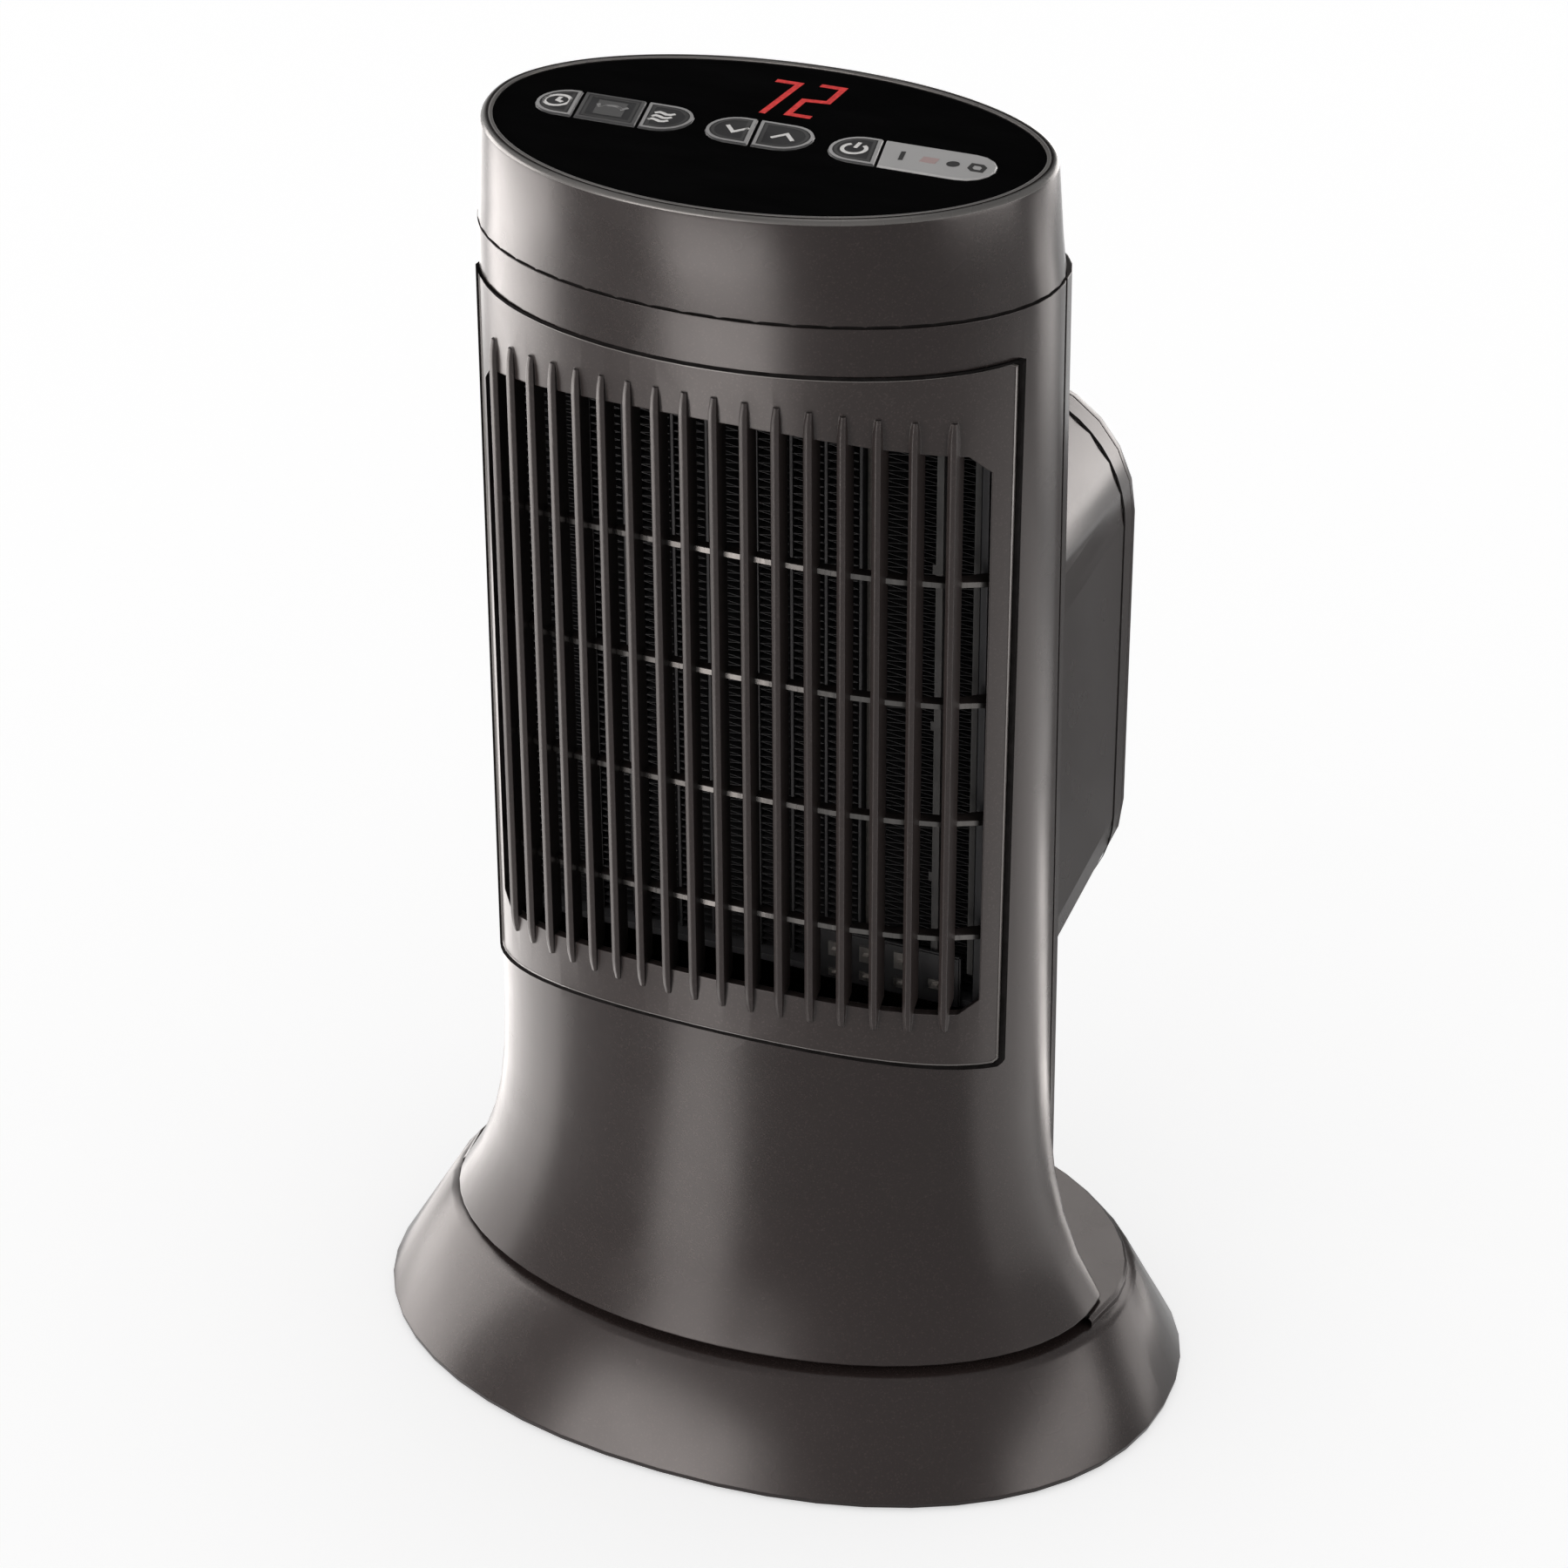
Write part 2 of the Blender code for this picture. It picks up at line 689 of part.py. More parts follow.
def intake_slots():
    """Rows of level slots, each parted by two bridges."""
    middle = (HUMP_FOOT + HUMP_TOP) / 2
    front = HUMP_REAR_Y - OVERRUN
    rear = HUMP_REAR_Y + COVER_THICKNESS + OVERRUN
    slots = []
    for row in range(SLOT_COUNT):
        z = middle + (row - (SLOT_COUNT - 1) / 2) * SLOT_PITCH
        half = slot_half_width(z)
        third = (HUMP_HALF_WIDTH - SLOT_MARGIN) / 3
        spans = (
            (-half, -third - SLOT_BRIDGE / 2),
            (-third + SLOT_BRIDGE / 2, third - SLOT_BRIDGE / 2),
            (third + SLOT_BRIDGE / 2, half),
        )
        for left, right in spans:
            low, high = (left, front, z - SLOT_HEIGHT / 2), (right, rear, z + SLOT_HEIGHT / 2)
            slots.append(box("slot", low, high))
    return gather("tool", slots)


def cover_catch(side):
    """A snap catch that reaches into the hump under its roof or over its floor."""
    wall = HUMP_TOP - TOWER_WALL if side > 0 else HUMP_FOOT + TOWER_WALL
    seat = wall - side * RUN_GAP
    heights = sorted((seat, seat - side * CATCH_THICKNESS))
    front = HUMP_REAR_Y - CATCH_LENGTH
    rear = HUMP_REAR_Y + COVER_THICKNESS - COVER_SKIN / 2
    half = CATCH_WIDTH / 2
    return box("catch", (-half, front, heights[0]), (half, rear, heights[1]))


def make_rear_cover():
    front = HUMP_REAR_Y + SEAT_GAP
    rear = HUMP_REAR_Y + COVER_THICKNESS
    steps = ((front, 0.0), (rear - COVER_ROUND, 0.0))
    steps += ((rear - COVER_ROUND / 3, COVER_ROUND / 3), (rear, COVER_ROUND))
    rings = [[(x, y, z) for x, z in hump_outline(HUMP_REAR_Y, inset)] for y, inset in steps]
    cover = loft("rear_cover", rings)
    inner = hump_outline(HUMP_REAR_Y, TOWER_WALL)
    cut(cover, facing_prism("tool", inner, front - OVERRUN, rear - COVER_SKIN))
    cut(cover, intake_slots())
    return join(cover, cover_catch(1), cover_catch(-1))


def make_dust_filter():
    rear = HUMP_REAR_Y + COVER_THICKNESS - COVER_SKIN - SEAT_GAP
    front = rear - FILTER_THICKNESS
    inset = TOWER_WALL + RUN_GAP + CATCH_THICKNESS + RUN_GAP
    sheet = facing_prism("dust_filter", hump_outline(HUMP_REAR_Y, inset), front, rear)
    half = HUMP_HALF_WIDTH - inset - FILTER_BORDER
    low, high = HUMP_FOOT + inset + FILTER_BORDER, HUMP_TOP - inset - FILTER_BORDER
    width = (2 * half - (FILTER_COLUMNS - 1) * FILTER_BAR) / FILTER_COLUMNS
    height = (high - low - (FILTER_ROWS - 1) * FILTER_BAR) / FILTER_ROWS
    border = hump_outline(HUMP_REAR_Y, inset + FILTER_BORDER)
    windows = []
    for column in range(FILTER_COLUMNS):
        for row in range(FILTER_ROWS):
            x = column * (width + FILTER_BAR) - half
            z = low + row * (height + FILTER_BAR)
            start, end = (x, front - OVERRUN, z), (x + width, rear + OVERRUN, z + height)
            windows.append(box("window", start, end))
    field = facing_prism("tool", border, front - OVERRUN, rear + OVERRUN)
    return cut(sheet, common(gather("windows", windows), field))


# Top cap
def cap_ring(share, height, inset=0.0, lean=TOP_LEAN_SHARE):
    half = TOWER_TOP_HALF_WIDTH + share * (RIM_TOP_HALF_WIDTH - TOWER_TOP_HALF_WIDTH) - inset
    front = TOWER_FRONT + share * (RIM_TOP_FRONT - TOWER_FRONT) - inset
    rear = TOWER_REAR + share * (RIM_TOP_REAR - TOWER_REAR) - inset
    return oval(half, front, rear, TOWER_Y, height, lean)


def make_top_cap():
    skirt = (TOP_HEIGHT - CAP_HEIGHT) / 3
    rings = [
        cap_ring(0.0, CAP_HEIGHT, 0.0, 0.0),
        cap_ring(0.4, CAP_HEIGHT + skirt, 0.0, TOP_LEAN_SHARE / 3),
        cap_ring(0.9, TOP_HEIGHT - BEAD_ROUND),
        cap_ring(0.95, TOP_HEIGHT - BEAD_ROUND / 3, BEAD_ROUND / 8),
        cap_ring(1.0, TOP_HEIGHT, BEAD_ROUND / 2),
    ]
    cap = loft("top_cap", rings)
    pocket_floor = TOP_HEIGHT - PANEL_DROP - PANEL_THICKNESS - SEAT_GAP
    pocket = (
        cap_ring(1.0, pocket_floor, PANEL_INSET),
        cap_ring(1.0, TOP_HEIGHT + OVERRUN, PANEL_INSET),
    )
    window = (
        cap_ring(1.0, pocket_floor - SHELF_THICKNESS - OVERRUN, PANEL_INSET + SHELF_WIDTH),
        cap_ring(1.0, TOP_HEIGHT, PANEL_INSET + SHELF_WIDTH),
    )
    hollow = (
        cap_ring(0.0, CAP_HEIGHT - OVERRUN, TOWER_WALL, 0.0),
        cap_ring(0.0, CAP_HEIGHT, TOWER_WALL, 0.0),
        cap_ring(1.0, pocket_floor - SHELF_THICKNESS, TOWER_WALL),
    )
    return cut(cap, loft("tool", pocket), loft("tool", window), loft("tool", hollow))


# Control panel, keys and indicator lens
def cell_outline(left, right, round_left, round_right, grow=0.0):
    """One cell of a pill: a leaning edge where it meets a neighbour, round at the pill's end."""
    radius = PILL_DEPTH / 2 + grow
    left, right = left - grow, right + grow
    steps = 8
    points = []
    for rounded, edge, side, start in ((round_right, right, 1, -90), (round_left, left, -1, 90)):
        if rounded:
            for i in range(steps + 1):
                turn = math.radians(start + 180 * i / steps)
                x = edge - side * radius + radius * math.cos(turn)
                points.append((x, PILL_Y - TOWER_Y + radius * math.sin(turn)))
        else:
            for sign in (-side, side):
                x = edge - sign * radius * KEY_SPLIT_LEAN_SHARE
                points.append((x, PILL_Y - TOWER_Y + sign * radius))
    return points


def on_panel(item):
    """Takes a piece drawn flat, with zero height at the rim's plane, onto the leaning panel."""
    return move(item, PANEL_TILT)


def make_control_panel():
    top = -PANEL_DROP
    foot = top - PANEL_THICKNESS
    inset = PANEL_INSET + SEAT_GAP
    sizes = (RIM_TOP_HALF_WIDTH - inset, RIM_TOP_FRONT - inset, RIM_TOP_REAR - inset)
    panel = loft("control_panel", [oval(*sizes, 0, z) for z in (foot, top)])
    for left, right in PILLS:
        outline = cell_outline(left, right, True, True, SEAT_GAP)
        cut(panel, level_prism("tool", outline, foot - OVERRUN, top + OVERRUN))
    board_top = foot - BOARD_DROP
    posts = []
    for x in (POST_MARGIN - BOARD_HALF_WIDTH, BOARD_HALF_WIDTH - POST_MARGIN):
        for y in (BOARD_FRONT_Y + POST_MARGIN / 2, BOARD_REAR_Y - POST_MARGIN / 2):
            centre = (x, y - TOWER_Y)
            low, high = board_top + SEAT_GAP, foot + PANEL_THICKNESS / 2
            posts.append(upright_disc("post", POST_RADIUS, low, high, centre, SMALL_ROUND_POINTS // 2))
    join(panel, gather("tool", posts))
    return on_panel(panel)


def make_key(name, left, right, round_left, round_right):
    """A key cap with eased edges, and two tabs that keep it under the panel."""
    top = KEY_PROUD - PANEL_DROP
    foot = -PANEL_DROP - PANEL_THICKNESS - KEY_TAB_THICKNESS - SEAT_GAP
    body = cell_outline(left, right, round_left, round_right)
    eased = cell_outline(left, right, round_left, round_right, -KEY_EDGE)
    levels = ((body, foot), (body, top - KEY_EDGE), (eased, top))
    key = loft(name, [[(x, y, z) for x, y in outline] for outline, z in levels])
    start = left + (PILL_DEPTH / 3 if round_left else KEY_TAB_MARGIN)
    end = right - (PILL_DEPTH / 3 if round_right else KEY_TAB_MARGIN)
    reach = PILL_DEPTH / 2 + KEY_TAB
    middle = PILL_Y - TOWER_Y
    tab = box("tool", (start, middle - reach, foot), (end, middle + reach, foot + KEY_TAB_THICKNESS))
    return on_panel(join(key, tab))


def make_indicator_lens():
    top = KEY_PROUD - PANEL_DROP
    foot = -PANEL_DROP - PANEL_THICKNESS
    left, right = LENS_SPLIT + KEY_SPLIT_GAP / 2, PILLS[2][1]
    body = cell_outline(left, right, False, True)
    eased = cell_outline(left, right, False, True, -KEY_EDGE)
    levels = ((body, foot), (body, top - KEY_EDGE), (eased, top))
    lens = loft("indicator_lens", [[(x, y, z) for x, y in outline] for outline, z in levels])
    return on_panel(lens)


def key_cells():
    """Name, left, right, and which ends are round, for the six keys."""
    half = KEY_SPLIT_GAP / 2
    first, second = LEFT_KEY_SPLITS
    return (
        ("key_timer", PILLS[0][0], first - half, True, False),
        ("key_swing", first + half, second - half, False, False),
        ("key_heat", second + half, PILLS[0][1], False, True),
        ("key_down", PILLS[1][0], MIDDLE_KEY_SPLIT - half, True, False),
        ("key_up", MIDDLE_KEY_SPLIT + half, PILLS[1][1], False, True),
        ("key_power", PILLS[2][0], LENS_SPLIT - half, True, False),
    )


def make_control_board():
    """The circuit board under the keys, with one press switch below each of them."""
    top = -PANEL_DROP - PANEL_THICKNESS - BOARD_DROP
    key_foot = -PANEL_DROP - PANEL_THICKNESS - KEY_TAB_THICKNESS - SEAT_GAP
    board = box(
        "control_board",
        (-BOARD_HALF_WIDTH, BOARD_FRONT_Y - TOWER_Y, top - BOARD_THICKNESS),
        (BOARD_HALF_WIDTH, BOARD_REAR_Y - TOWER_Y, top),
    )
    switches = []
    for _, left, right, _, _ in key_cells():
        middle = (left + right) / 2
        half = SWITCH_SIZE / 2
        low = (middle - half, PILL_Y - TOWER_Y - half, top - BOARD_THICKNESS / 2)
        high = (middle + half, PILL_Y - TOWER_Y + half, key_foot - KEY_TRAVEL - SEAT_GAP)
        switches.append(box("switch", low, high))
    return on_panel(join(board, gather("tool", switches)))


def make_display_module():
    """The two-digit display that lights the panel from below."""
    top = -PANEL_DROP - PANEL_THICKNESS - SEAT_GAP
    low = (DISPLAY_LEFT_X, DISPLAY_FRONT_Y - TOWER_Y, top - DISPLAY_THICKNESS)
    high = (DISPLAY_RIGHT_X, DISPLAY_REAR_Y - TOWER_Y, top)
    return on_panel(box("display_module", low, high))


# Base
def base_ring(share, height, inset=0.0):
    """A ring of the base's skirt, from its foot at share 0 to its rim at share 1."""
    half = BASE_HALF_WIDTH + share * (RIM_HALF_WIDTH - BASE_HALF_WIDTH) - inset
    front = BASE_HALF_DEPTH + share * (RIM_FRONT - BASE_HALF_DEPTH) - inset
    rear = BASE_HALF_DEPTH + share * (RIM_REAR - BASE_HALF_DEPTH) - inset
    squareness = BASE_SQUARENESS_SHARE + share * (2 - BASE_SQUARENESS_SHARE)
    return oval(half, front, rear, share * RIM_CENTRE, height, 0.0, squareness)


def skirt_share(height):
    return (height - BASE_LIFT - BASE_EDGE) / (LEDGE_HEIGHT - BASE_LIFT - BASE_EDGE)


def deck_outline(inset):
    """The raised deck: the rim's oval behind, and in front an oval inside the skirt's, joined aslant."""
    half = RIM_HALF_WIDTH - inset
    front_half = SKIRT_HALF_WIDTH - DECK_INSET - inset
    front_depth = SKIRT_FRONT - DECK_INSET - inset
    reach = (DECK_HORN_Y - RIM_CENTRE) / (RIM_FRONT - inset)
    horn_x = half * math.sqrt(1 - reach * reach)
    count = OVAL_POINTS // 2
    points = [(horn_x, DECK_HORN_Y)]
    for i in range(count + 1):
        turn = math.pi * i / count
        points.append((half * math.cos(turn), RIM_CENTRE + (RIM_REAR - inset) * math.sin(turn)))
    points.append((-horn_x, DECK_HORN_Y))
    points.append((-DECK_NOTCH_X + inset, DECK_NOTCH_Y))
    for i in range(count + 1):
        turn = math.pi * i / count
        points.append((-front_half * math.cos(turn), TOWER_Y - front_depth * math.sin(turn)))
    points.append((DECK_NOTCH_X - inset, DECK_NOTCH_Y))
    return points


def make_base_shell():
    edge = LEDGE_HEIGHT - RIM_ROUND
    rings = [
        base_ring(0.0, BASE_LIFT, BASE_EDGE / 2),
        base_ring(0.0, BASE_LIFT + BASE_EDGE / 3, BASE_EDGE / 8),
        base_ring(0.0, BASE_LIFT + BASE_EDGE),
        base_ring(skirt_share(edge), edge),
        base_ring(1.0, LEDGE_HEIGHT - RIM_ROUND / 4, RIM_ROUND / 3),
        base_ring(1.0, LEDGE_HEIGHT, RIM_ROUND),
    ]
    shell = loft("base_shell", rings)
    eased = DECK_HEIGHT - DECK_ROUND
    levels = ((edge, RIM_ROUND), (eased, RIM_ROUND), (DECK_HEIGHT, RIM_ROUND + DECK_ROUND))
    deck = loft("tool", [[(x, y, z) for x, y in deck_outline(inset)] for z, inset in levels])
    join(shell, deck)
    roof = DECK_HEIGHT - DECK_WALL
    hollow = [
        base_ring(0.0, BASE_LIFT - OVERRUN, BASE_WALL),
        base_ring(skirt_share(PLATE_TOP), PLATE_TOP, BASE_WALL),
        base_ring(1.0, roof - DECK_RISE, BASE_WALL + DECK_INSET),
        base_ring(1.0, roof, BASE_WALL + DECK_INSET + DECK_WALL),
    ]
    cut(shell, loft("tool", hollow))
    centre = (0, TOWER_Y)
    hole = upright_disc("tool", SPINDLE_RADIUS + RUN_GAP, roof - OVERRUN, DECK_HEIGHT + OVERRUN, centre)
    cut(shell, hole)
    rear = BASE_HALF_DEPTH
    channel = facing_disc(
        "tool", GLAND_RADIUS + SEAT_GAP, rear / 2, rear + OVERRUN, (GLAND_X, GLAND_Z), SMALL_ROUND_POINTS
    )
    return cut(shell, channel)


def foot_centres():
    return {
        "foot_front_left": (-FOOT_ACROSS, -FOOT_ALONG),
        "foot_front_right": (FOOT_ACROSS, -FOOT_ALONG),
        "foot_rear_left": (-FOOT_ACROSS, FOOT_ALONG),
        "foot_rear_right": (FOOT_ACROSS, FOOT_ALONG),
    }


def make_base_plate():
    inset = BASE_WALL + SEAT_GAP
    rings = [base_ring(skirt_share(PLATE_TOP), z, inset) for z in (PLATE_HEIGHT, PLATE_TOP)]
    plate = loft("base_plate", rings)
    low, high = PLATE_HEIGHT - OVERRUN, PLATE_TOP + OVERRUN
    tools = [
        upright_disc("hole", FOOT_STUD_RADIUS + SEAT_GAP, low, high, centre, SMALL_ROUND_POINTS)
        for centre in foot_centres().values()
    ]
    tools.append(
        upright_disc("hole", TIP_PIN_RADIUS + RUN_GAP, low, high, (TIP_X, TIP_Y), SMALL_ROUND_POINTS)
    )
    for i in range(VENT_COUNT):
        x = (i - (VENT_COUNT - 1) / 2) * VENT_PITCH
        half, width = VENT_LENGTH / 2, VENT_WIDTH / 2
        middle = -(FOOT_ALONG + BASE_EDGE) / 2 - VENT_LENGTH / 3
        tools.append(box("vent", (x - width, middle - half, low), (x + width, middle + half, high)))
    return cut(plate, gather("tool", tools))


def make_foot(name, centre):
    stud_top = PLATE_TOP + FOOT_STUD_LENGTH / 3
    pad_top = PLATE_HEIGHT - SEAT_GAP
    eased = pad_top / 3
    profile = (
        (FOOT_RADIUS - eased, 0.0),
        (FOOT_RADIUS, eased),
        (FOOT_RADIUS, pad_top),
        (FOOT_STUD_RADIUS, pad_top),
        (FOOT_STUD_RADIUS, stud_top),
    )
    rings = [[(x, y, z) for x, y in circle(r, SMALL_ROUND_POINTS, centre)] for r, z in profile]
    return loft(name, rings)


# Swivel and swing drive
def make_tower_floor():
    """The plate that closes the tower's foot, with the hollow spindle it turns on."""
    half = straight_half_width(CAP_HEIGHT) - REAR_STEP - TOWER_WALL - 2 * SEAT_GAP
    _, front = front_size(FLOOR_HEIGHT)
    front -= TOWER_WALL + RUN_GAP
    rear = TOWER_REAR - TOWER_WALL - SEAT_GAP
    levels = (FLOOR_HEIGHT, FLOOR_HEIGHT + FLOOR_THICKNESS)
    plate = loft("tower_floor", [oval(half, front, rear, TOWER_Y, z) for z in levels])
    centre = (0, TOWER_Y)
    top = FLOOR_HEIGHT + FLOOR_THICKNESS
    join(plate, upright_disc("tool", SPINDLE_RADIUS, SPINDLE_FOOT, top - SEAT_GAP, centre))
    return cut(plate, upright_disc("tool", SPINDLE_BORE, SPINDLE_FOOT - OVERRUN, top + OVERRUN, centre))


def ring_at(name, inner, outer, low, high, centre, count=ROUND_POINTS):
    piece = turned(name, ((inner, low), (outer, low), (outer, high), (inner, high)), count)
    return move(piece, Matrix.Translation((*centre, 0)))


def make_bearing_ring():
    low, high = DECK_HEIGHT + SEAT_GAP, FLOOR_HEIGHT - SEAT_GAP
    return ring_at("bearing_ring", BEARING_INNER, BEARING_OUTER, low, high, (0, TOWER_Y))


def make_spindle_clip():
    high = DECK_HEIGHT - DECK_WALL - SEAT_GAP
    inner = SPINDLE_RADIUS + SEAT_GAP
    low = high - CLIP_THICKNESS
    return ring_at("spindle_clip", inner, CLIP_RADIUS, low, high, (0, TOWER_Y))


def tooth_outline(teeth, index, outward_tip, start):
    """Four or more points along one involute tooth, from its root on one side to the other."""
    pitch = GEAR_MODULE * teeth / 2
    base = pitch * math.cos(PRESSURE_ANGLE)
    tip = pitch + outward_tip
    root = pitch - TOOTH_DEDENDUM_SHARE * GEAR_MODULE
    half_pitch_angle = TOOTH_WIDTH_SHARE * math.pi / teeth
    involute = math.tan(PRESSURE_ANGLE) - PRESSURE_ANGLE
    flank = [(root, None)]
    for share in (0.0, 0.5, 1.0):
        radius = max(base, root) + share * (tip - max(base, root))
        flank.append((radius, radius))
    points = []
    for radius, active in flank:
        if active is None:
            radius, active = root, max(base, root)
        angle = math.acos(min(base / active, 1.0))
        offset = half_pitch_angle + involute - (math.tan(angle) - angle)
        points.append((radius, offset))
    middle = start + 2 * math.pi * index / teeth
    left = [(r, middle - offset) for r, offset in points]
    right = [(r, middle + offset) for r, offset in reversed(points)]
    return [(r * math.cos(a), r * math.sin(a)) for r, a in left + right]


def make_swing_gear():
    """A toothed sector on a hub that sits round the spindle's foot, teeth to the rear."""
    tip = TOOTH_ADDENDUM_SHARE * GEAR_MODULE
    half = SECTOR_TEETH // 2
    hub = SPINDLE_RADIUS + SEAT_GAP + GEAR_HUB_WALL
    outline = []
    for index in range(-half, half + 1):
        outline += tooth_outline(GEAR_TEETH, index, tip, math.pi / 2)
    last = math.pi / 2 + 2 * math.pi * (half + 1) / GEAR_TEETH
    sweep = 2 * math.pi - 2 * (last - math.pi / 2)
    steps = ROUND_POINTS - ROUND_POINTS // 4
    for i in range(steps + 1):
        turn = last + sweep * i / steps
        outline.append((hub * math.cos(turn), hub * math.sin(turn)))
    top = GEAR_FOOT + GEAR_THICKNESS
    gear = level_prism("swing_gear", outline, GEAR_FOOT, top)
    bore = SPINDLE_RADIUS + SEAT_GAP
    cut(gear, upright_disc("tool", bore, GEAR_FOOT - OVERRUN, top + OVERRUN))
    return move(gear, Matrix.Translation((0, TOWER_Y, 0)))


def make_swing_pinion():
    """The small gear and its shaft, which end in the swing motor. A gap between teeth faces the sector."""
    tip = TOOTH_ADDENDUM_SHARE * GEAR_MODULE
    start = -math.pi / 2 + math.pi / PINION_TEETH
    outline = []
    for index in range(PINION_TEETH):
        outline += tooth_outline(PINION_TEETH, index, tip, start)
    pinion = level_prism("swing_pinion", outline, GEAR_FOOT, GEAR_FOOT + GEAR_THICKNESS)
    foot = PLATE_TOP + SEAT_GAP + SWING_MOTOR_HEIGHT - SWING_MOTOR_BORE_DEPTH + SEAT_GAP
    middle = GEAR_FOOT + GEAR_THICKNESS / 2
    shaft = upright_disc("tool", PINION_SHAFT, foot, middle, (0, 0), SMALL_ROUND_POINTS)
    join(pinion, shaft)
    return move(pinion, Matrix.Translation((0, PINION_Y, 0)))


def make_swing_motor():
    low = PLATE_TOP + SEAT_GAP
    high = low + SWING_MOTOR_HEIGHT
    centre = (0, PINION_Y)
    motor = upright_disc("swing_motor", SWING_MOTOR_RADIUS, low, high, centre)
    half = MOUNT_ARM_WIDTH / 2
    reach = SWING_MOTOR_RADIUS + MOUNT_ARM_WIDTH
    ears = box(
        "tool",
        (-reach, PINION_Y - half, high - SWING_MOTOR_BORE_DEPTH),
        (reach, PINION_Y + half, high - SWING_MOTOR_BORE_DEPTH / 2),
    )
    join(motor, ears)
    bore = upright_disc(
        "tool",
        PINION_SHAFT + RUN_GAP,
        high - SWING_MOTOR_BORE_DEPTH,
        high + OVERRUN,
        centre,
        SMALL_ROUND_POINTS,
    )
    return cut(motor, bore)


# Tip-over switch
def make_tip_switch_case():
    low = PLATE_TOP + SEAT_GAP
    half = TIP_CASE_HALF
    case = box(
        "tip_switch_case", (TIP_X - half, TIP_Y - half, low), (TIP_X + half, TIP_Y + half, TIP_CASE_TOP)
    )
    bore = TIP_FLANGE_RADIUS + RUN_GAP
    roof = TIP_CASE_TOP - TIP_CASE_ROOF
    return cut(case, upright_disc("tool", bore, low - OVERRUN, roof, (TIP_X, TIP_Y), SMALL_ROUND_POINTS))


def make_tip_switch_plunger():
    """The pin that the floor holds up, with the flange that keeps it in its case."""
    flange_top = TIP_FLANGE_HEIGHT + TIP_FLANGE_THICKNESS
    eased = TIP_PIN_RADIUS / 3
    profile = (
        (TIP_PIN_RADIUS - eased, SEAT_GAP),
        (TIP_PIN_RADIUS, SEAT_GAP + eased),
        (TIP_PIN_RADIUS, TIP_FLANGE_HEIGHT),
        (TIP_FLANGE_RADIUS, TIP_FLANGE_HEIGHT),
        (TIP_FLANGE_RADIUS, flange_top),
        (TIP_PIN_RADIUS, flange_top),
        (TIP_PIN_RADIUS, TIP_PIN_TOP),
    )
    centre = (TIP_X, TIP_Y)
    rings = [[(x, y, z) for x, y in circle(r, SMALL_ROUND_POINTS, centre)] for r, z in profile]
    return loft("tip_switch_plunger", rings)


# Cord gland
def skirt_rear_y(height):
    """The skirt's outer face behind, in line with the gland."""
    share = skirt_share(height)
    half = BASE_HALF_WIDTH + share * (RIM_HALF_WIDTH - BASE_HALF_WIDTH)
    depth = BASE_HALF_DEPTH + share * (RIM_REAR - BASE_HALF_DEPTH)
    squareness = BASE_SQUARENESS_SHARE + share * (2 - BASE_SQUARENESS_SHARE)
    along = (1 - (abs(GLAND_X) / half) ** squareness) ** (1 / squareness)
    return share * RIM_CENTRE + depth * along


def make_cord_gland():
    """A blind bush in the base's rear wall, where a mains lead would leave."""
    ends = (GLAND_Z - GLAND_COLLAR_RADIUS, GLAND_Z + GLAND_COLLAR_RADIUS)
    outer = max(skirt_rear_y(height) for height in ends) + SEAT_GAP
    centre = (GLAND_X, GLAND_Z)
    rear = outer + GLAND_COLLAR
    inner = rear - GLAND_LENGTH
    gland = facing_disc("cord_gland", GLAND_RADIUS, inner, rear, centre, SMALL_ROUND_POINTS)
    join(gland, facing_disc("tool", GLAND_COLLAR_RADIUS, outer, rear, centre, SMALL_ROUND_POINTS))
    mouth = facing_disc(
        "tool", GLAND_MOUTH_RADIUS, rear - GLAND_MOUTH_DEPTH, rear + OVERRUN, centre, SMALL_ROUND_POINTS
    )
    return cut(gland, mouth)


# Heater core
def make_core_frame():
    """The tray that holds the heating packs: a deep rim, with a lip behind the packs."""
    half = CORE_HALF_WIDTH
    frame = box("core_frame", (-half, CORE_FRONT_Y, CORE_FOOT), (half, CORE_REAR_Y, CORE_TOP))
    inside = half - CORE_WALL
    cavity = box(
        "tool",
        (-inside, CORE_FRONT_Y - OVERRUN, CORE_FOOT + CORE_WALL),
        (inside, CORE_REAR_Y - CORE_LIP_THICKNESS, CORE_TOP - CORE_WALL),
    )
    lip = half - CORE_LIP
    opening = box(
        "tool",
        (-lip, CORE_FRONT_Y, CORE_FOOT + CORE_LIP),
        (lip, CORE_REAR_Y + OVERRUN, CORE_TOP - CORE_LIP),
    )
    return cut(frame, cavity, opening)


def pack_width():
    inside = 2 * (CORE_HALF_WIDTH - CORE_WALL - SEAT_GAP)
    return (inside - (FIN_PACK_COUNT - 1) * FIN_PACK_GAP) / FIN_PACK_COUNT


def pack_left(index):
    return CORE_WALL + SEAT_GAP - CORE_HALF_WIDTH + index * (pack_width() + FIN_PACK_GAP)


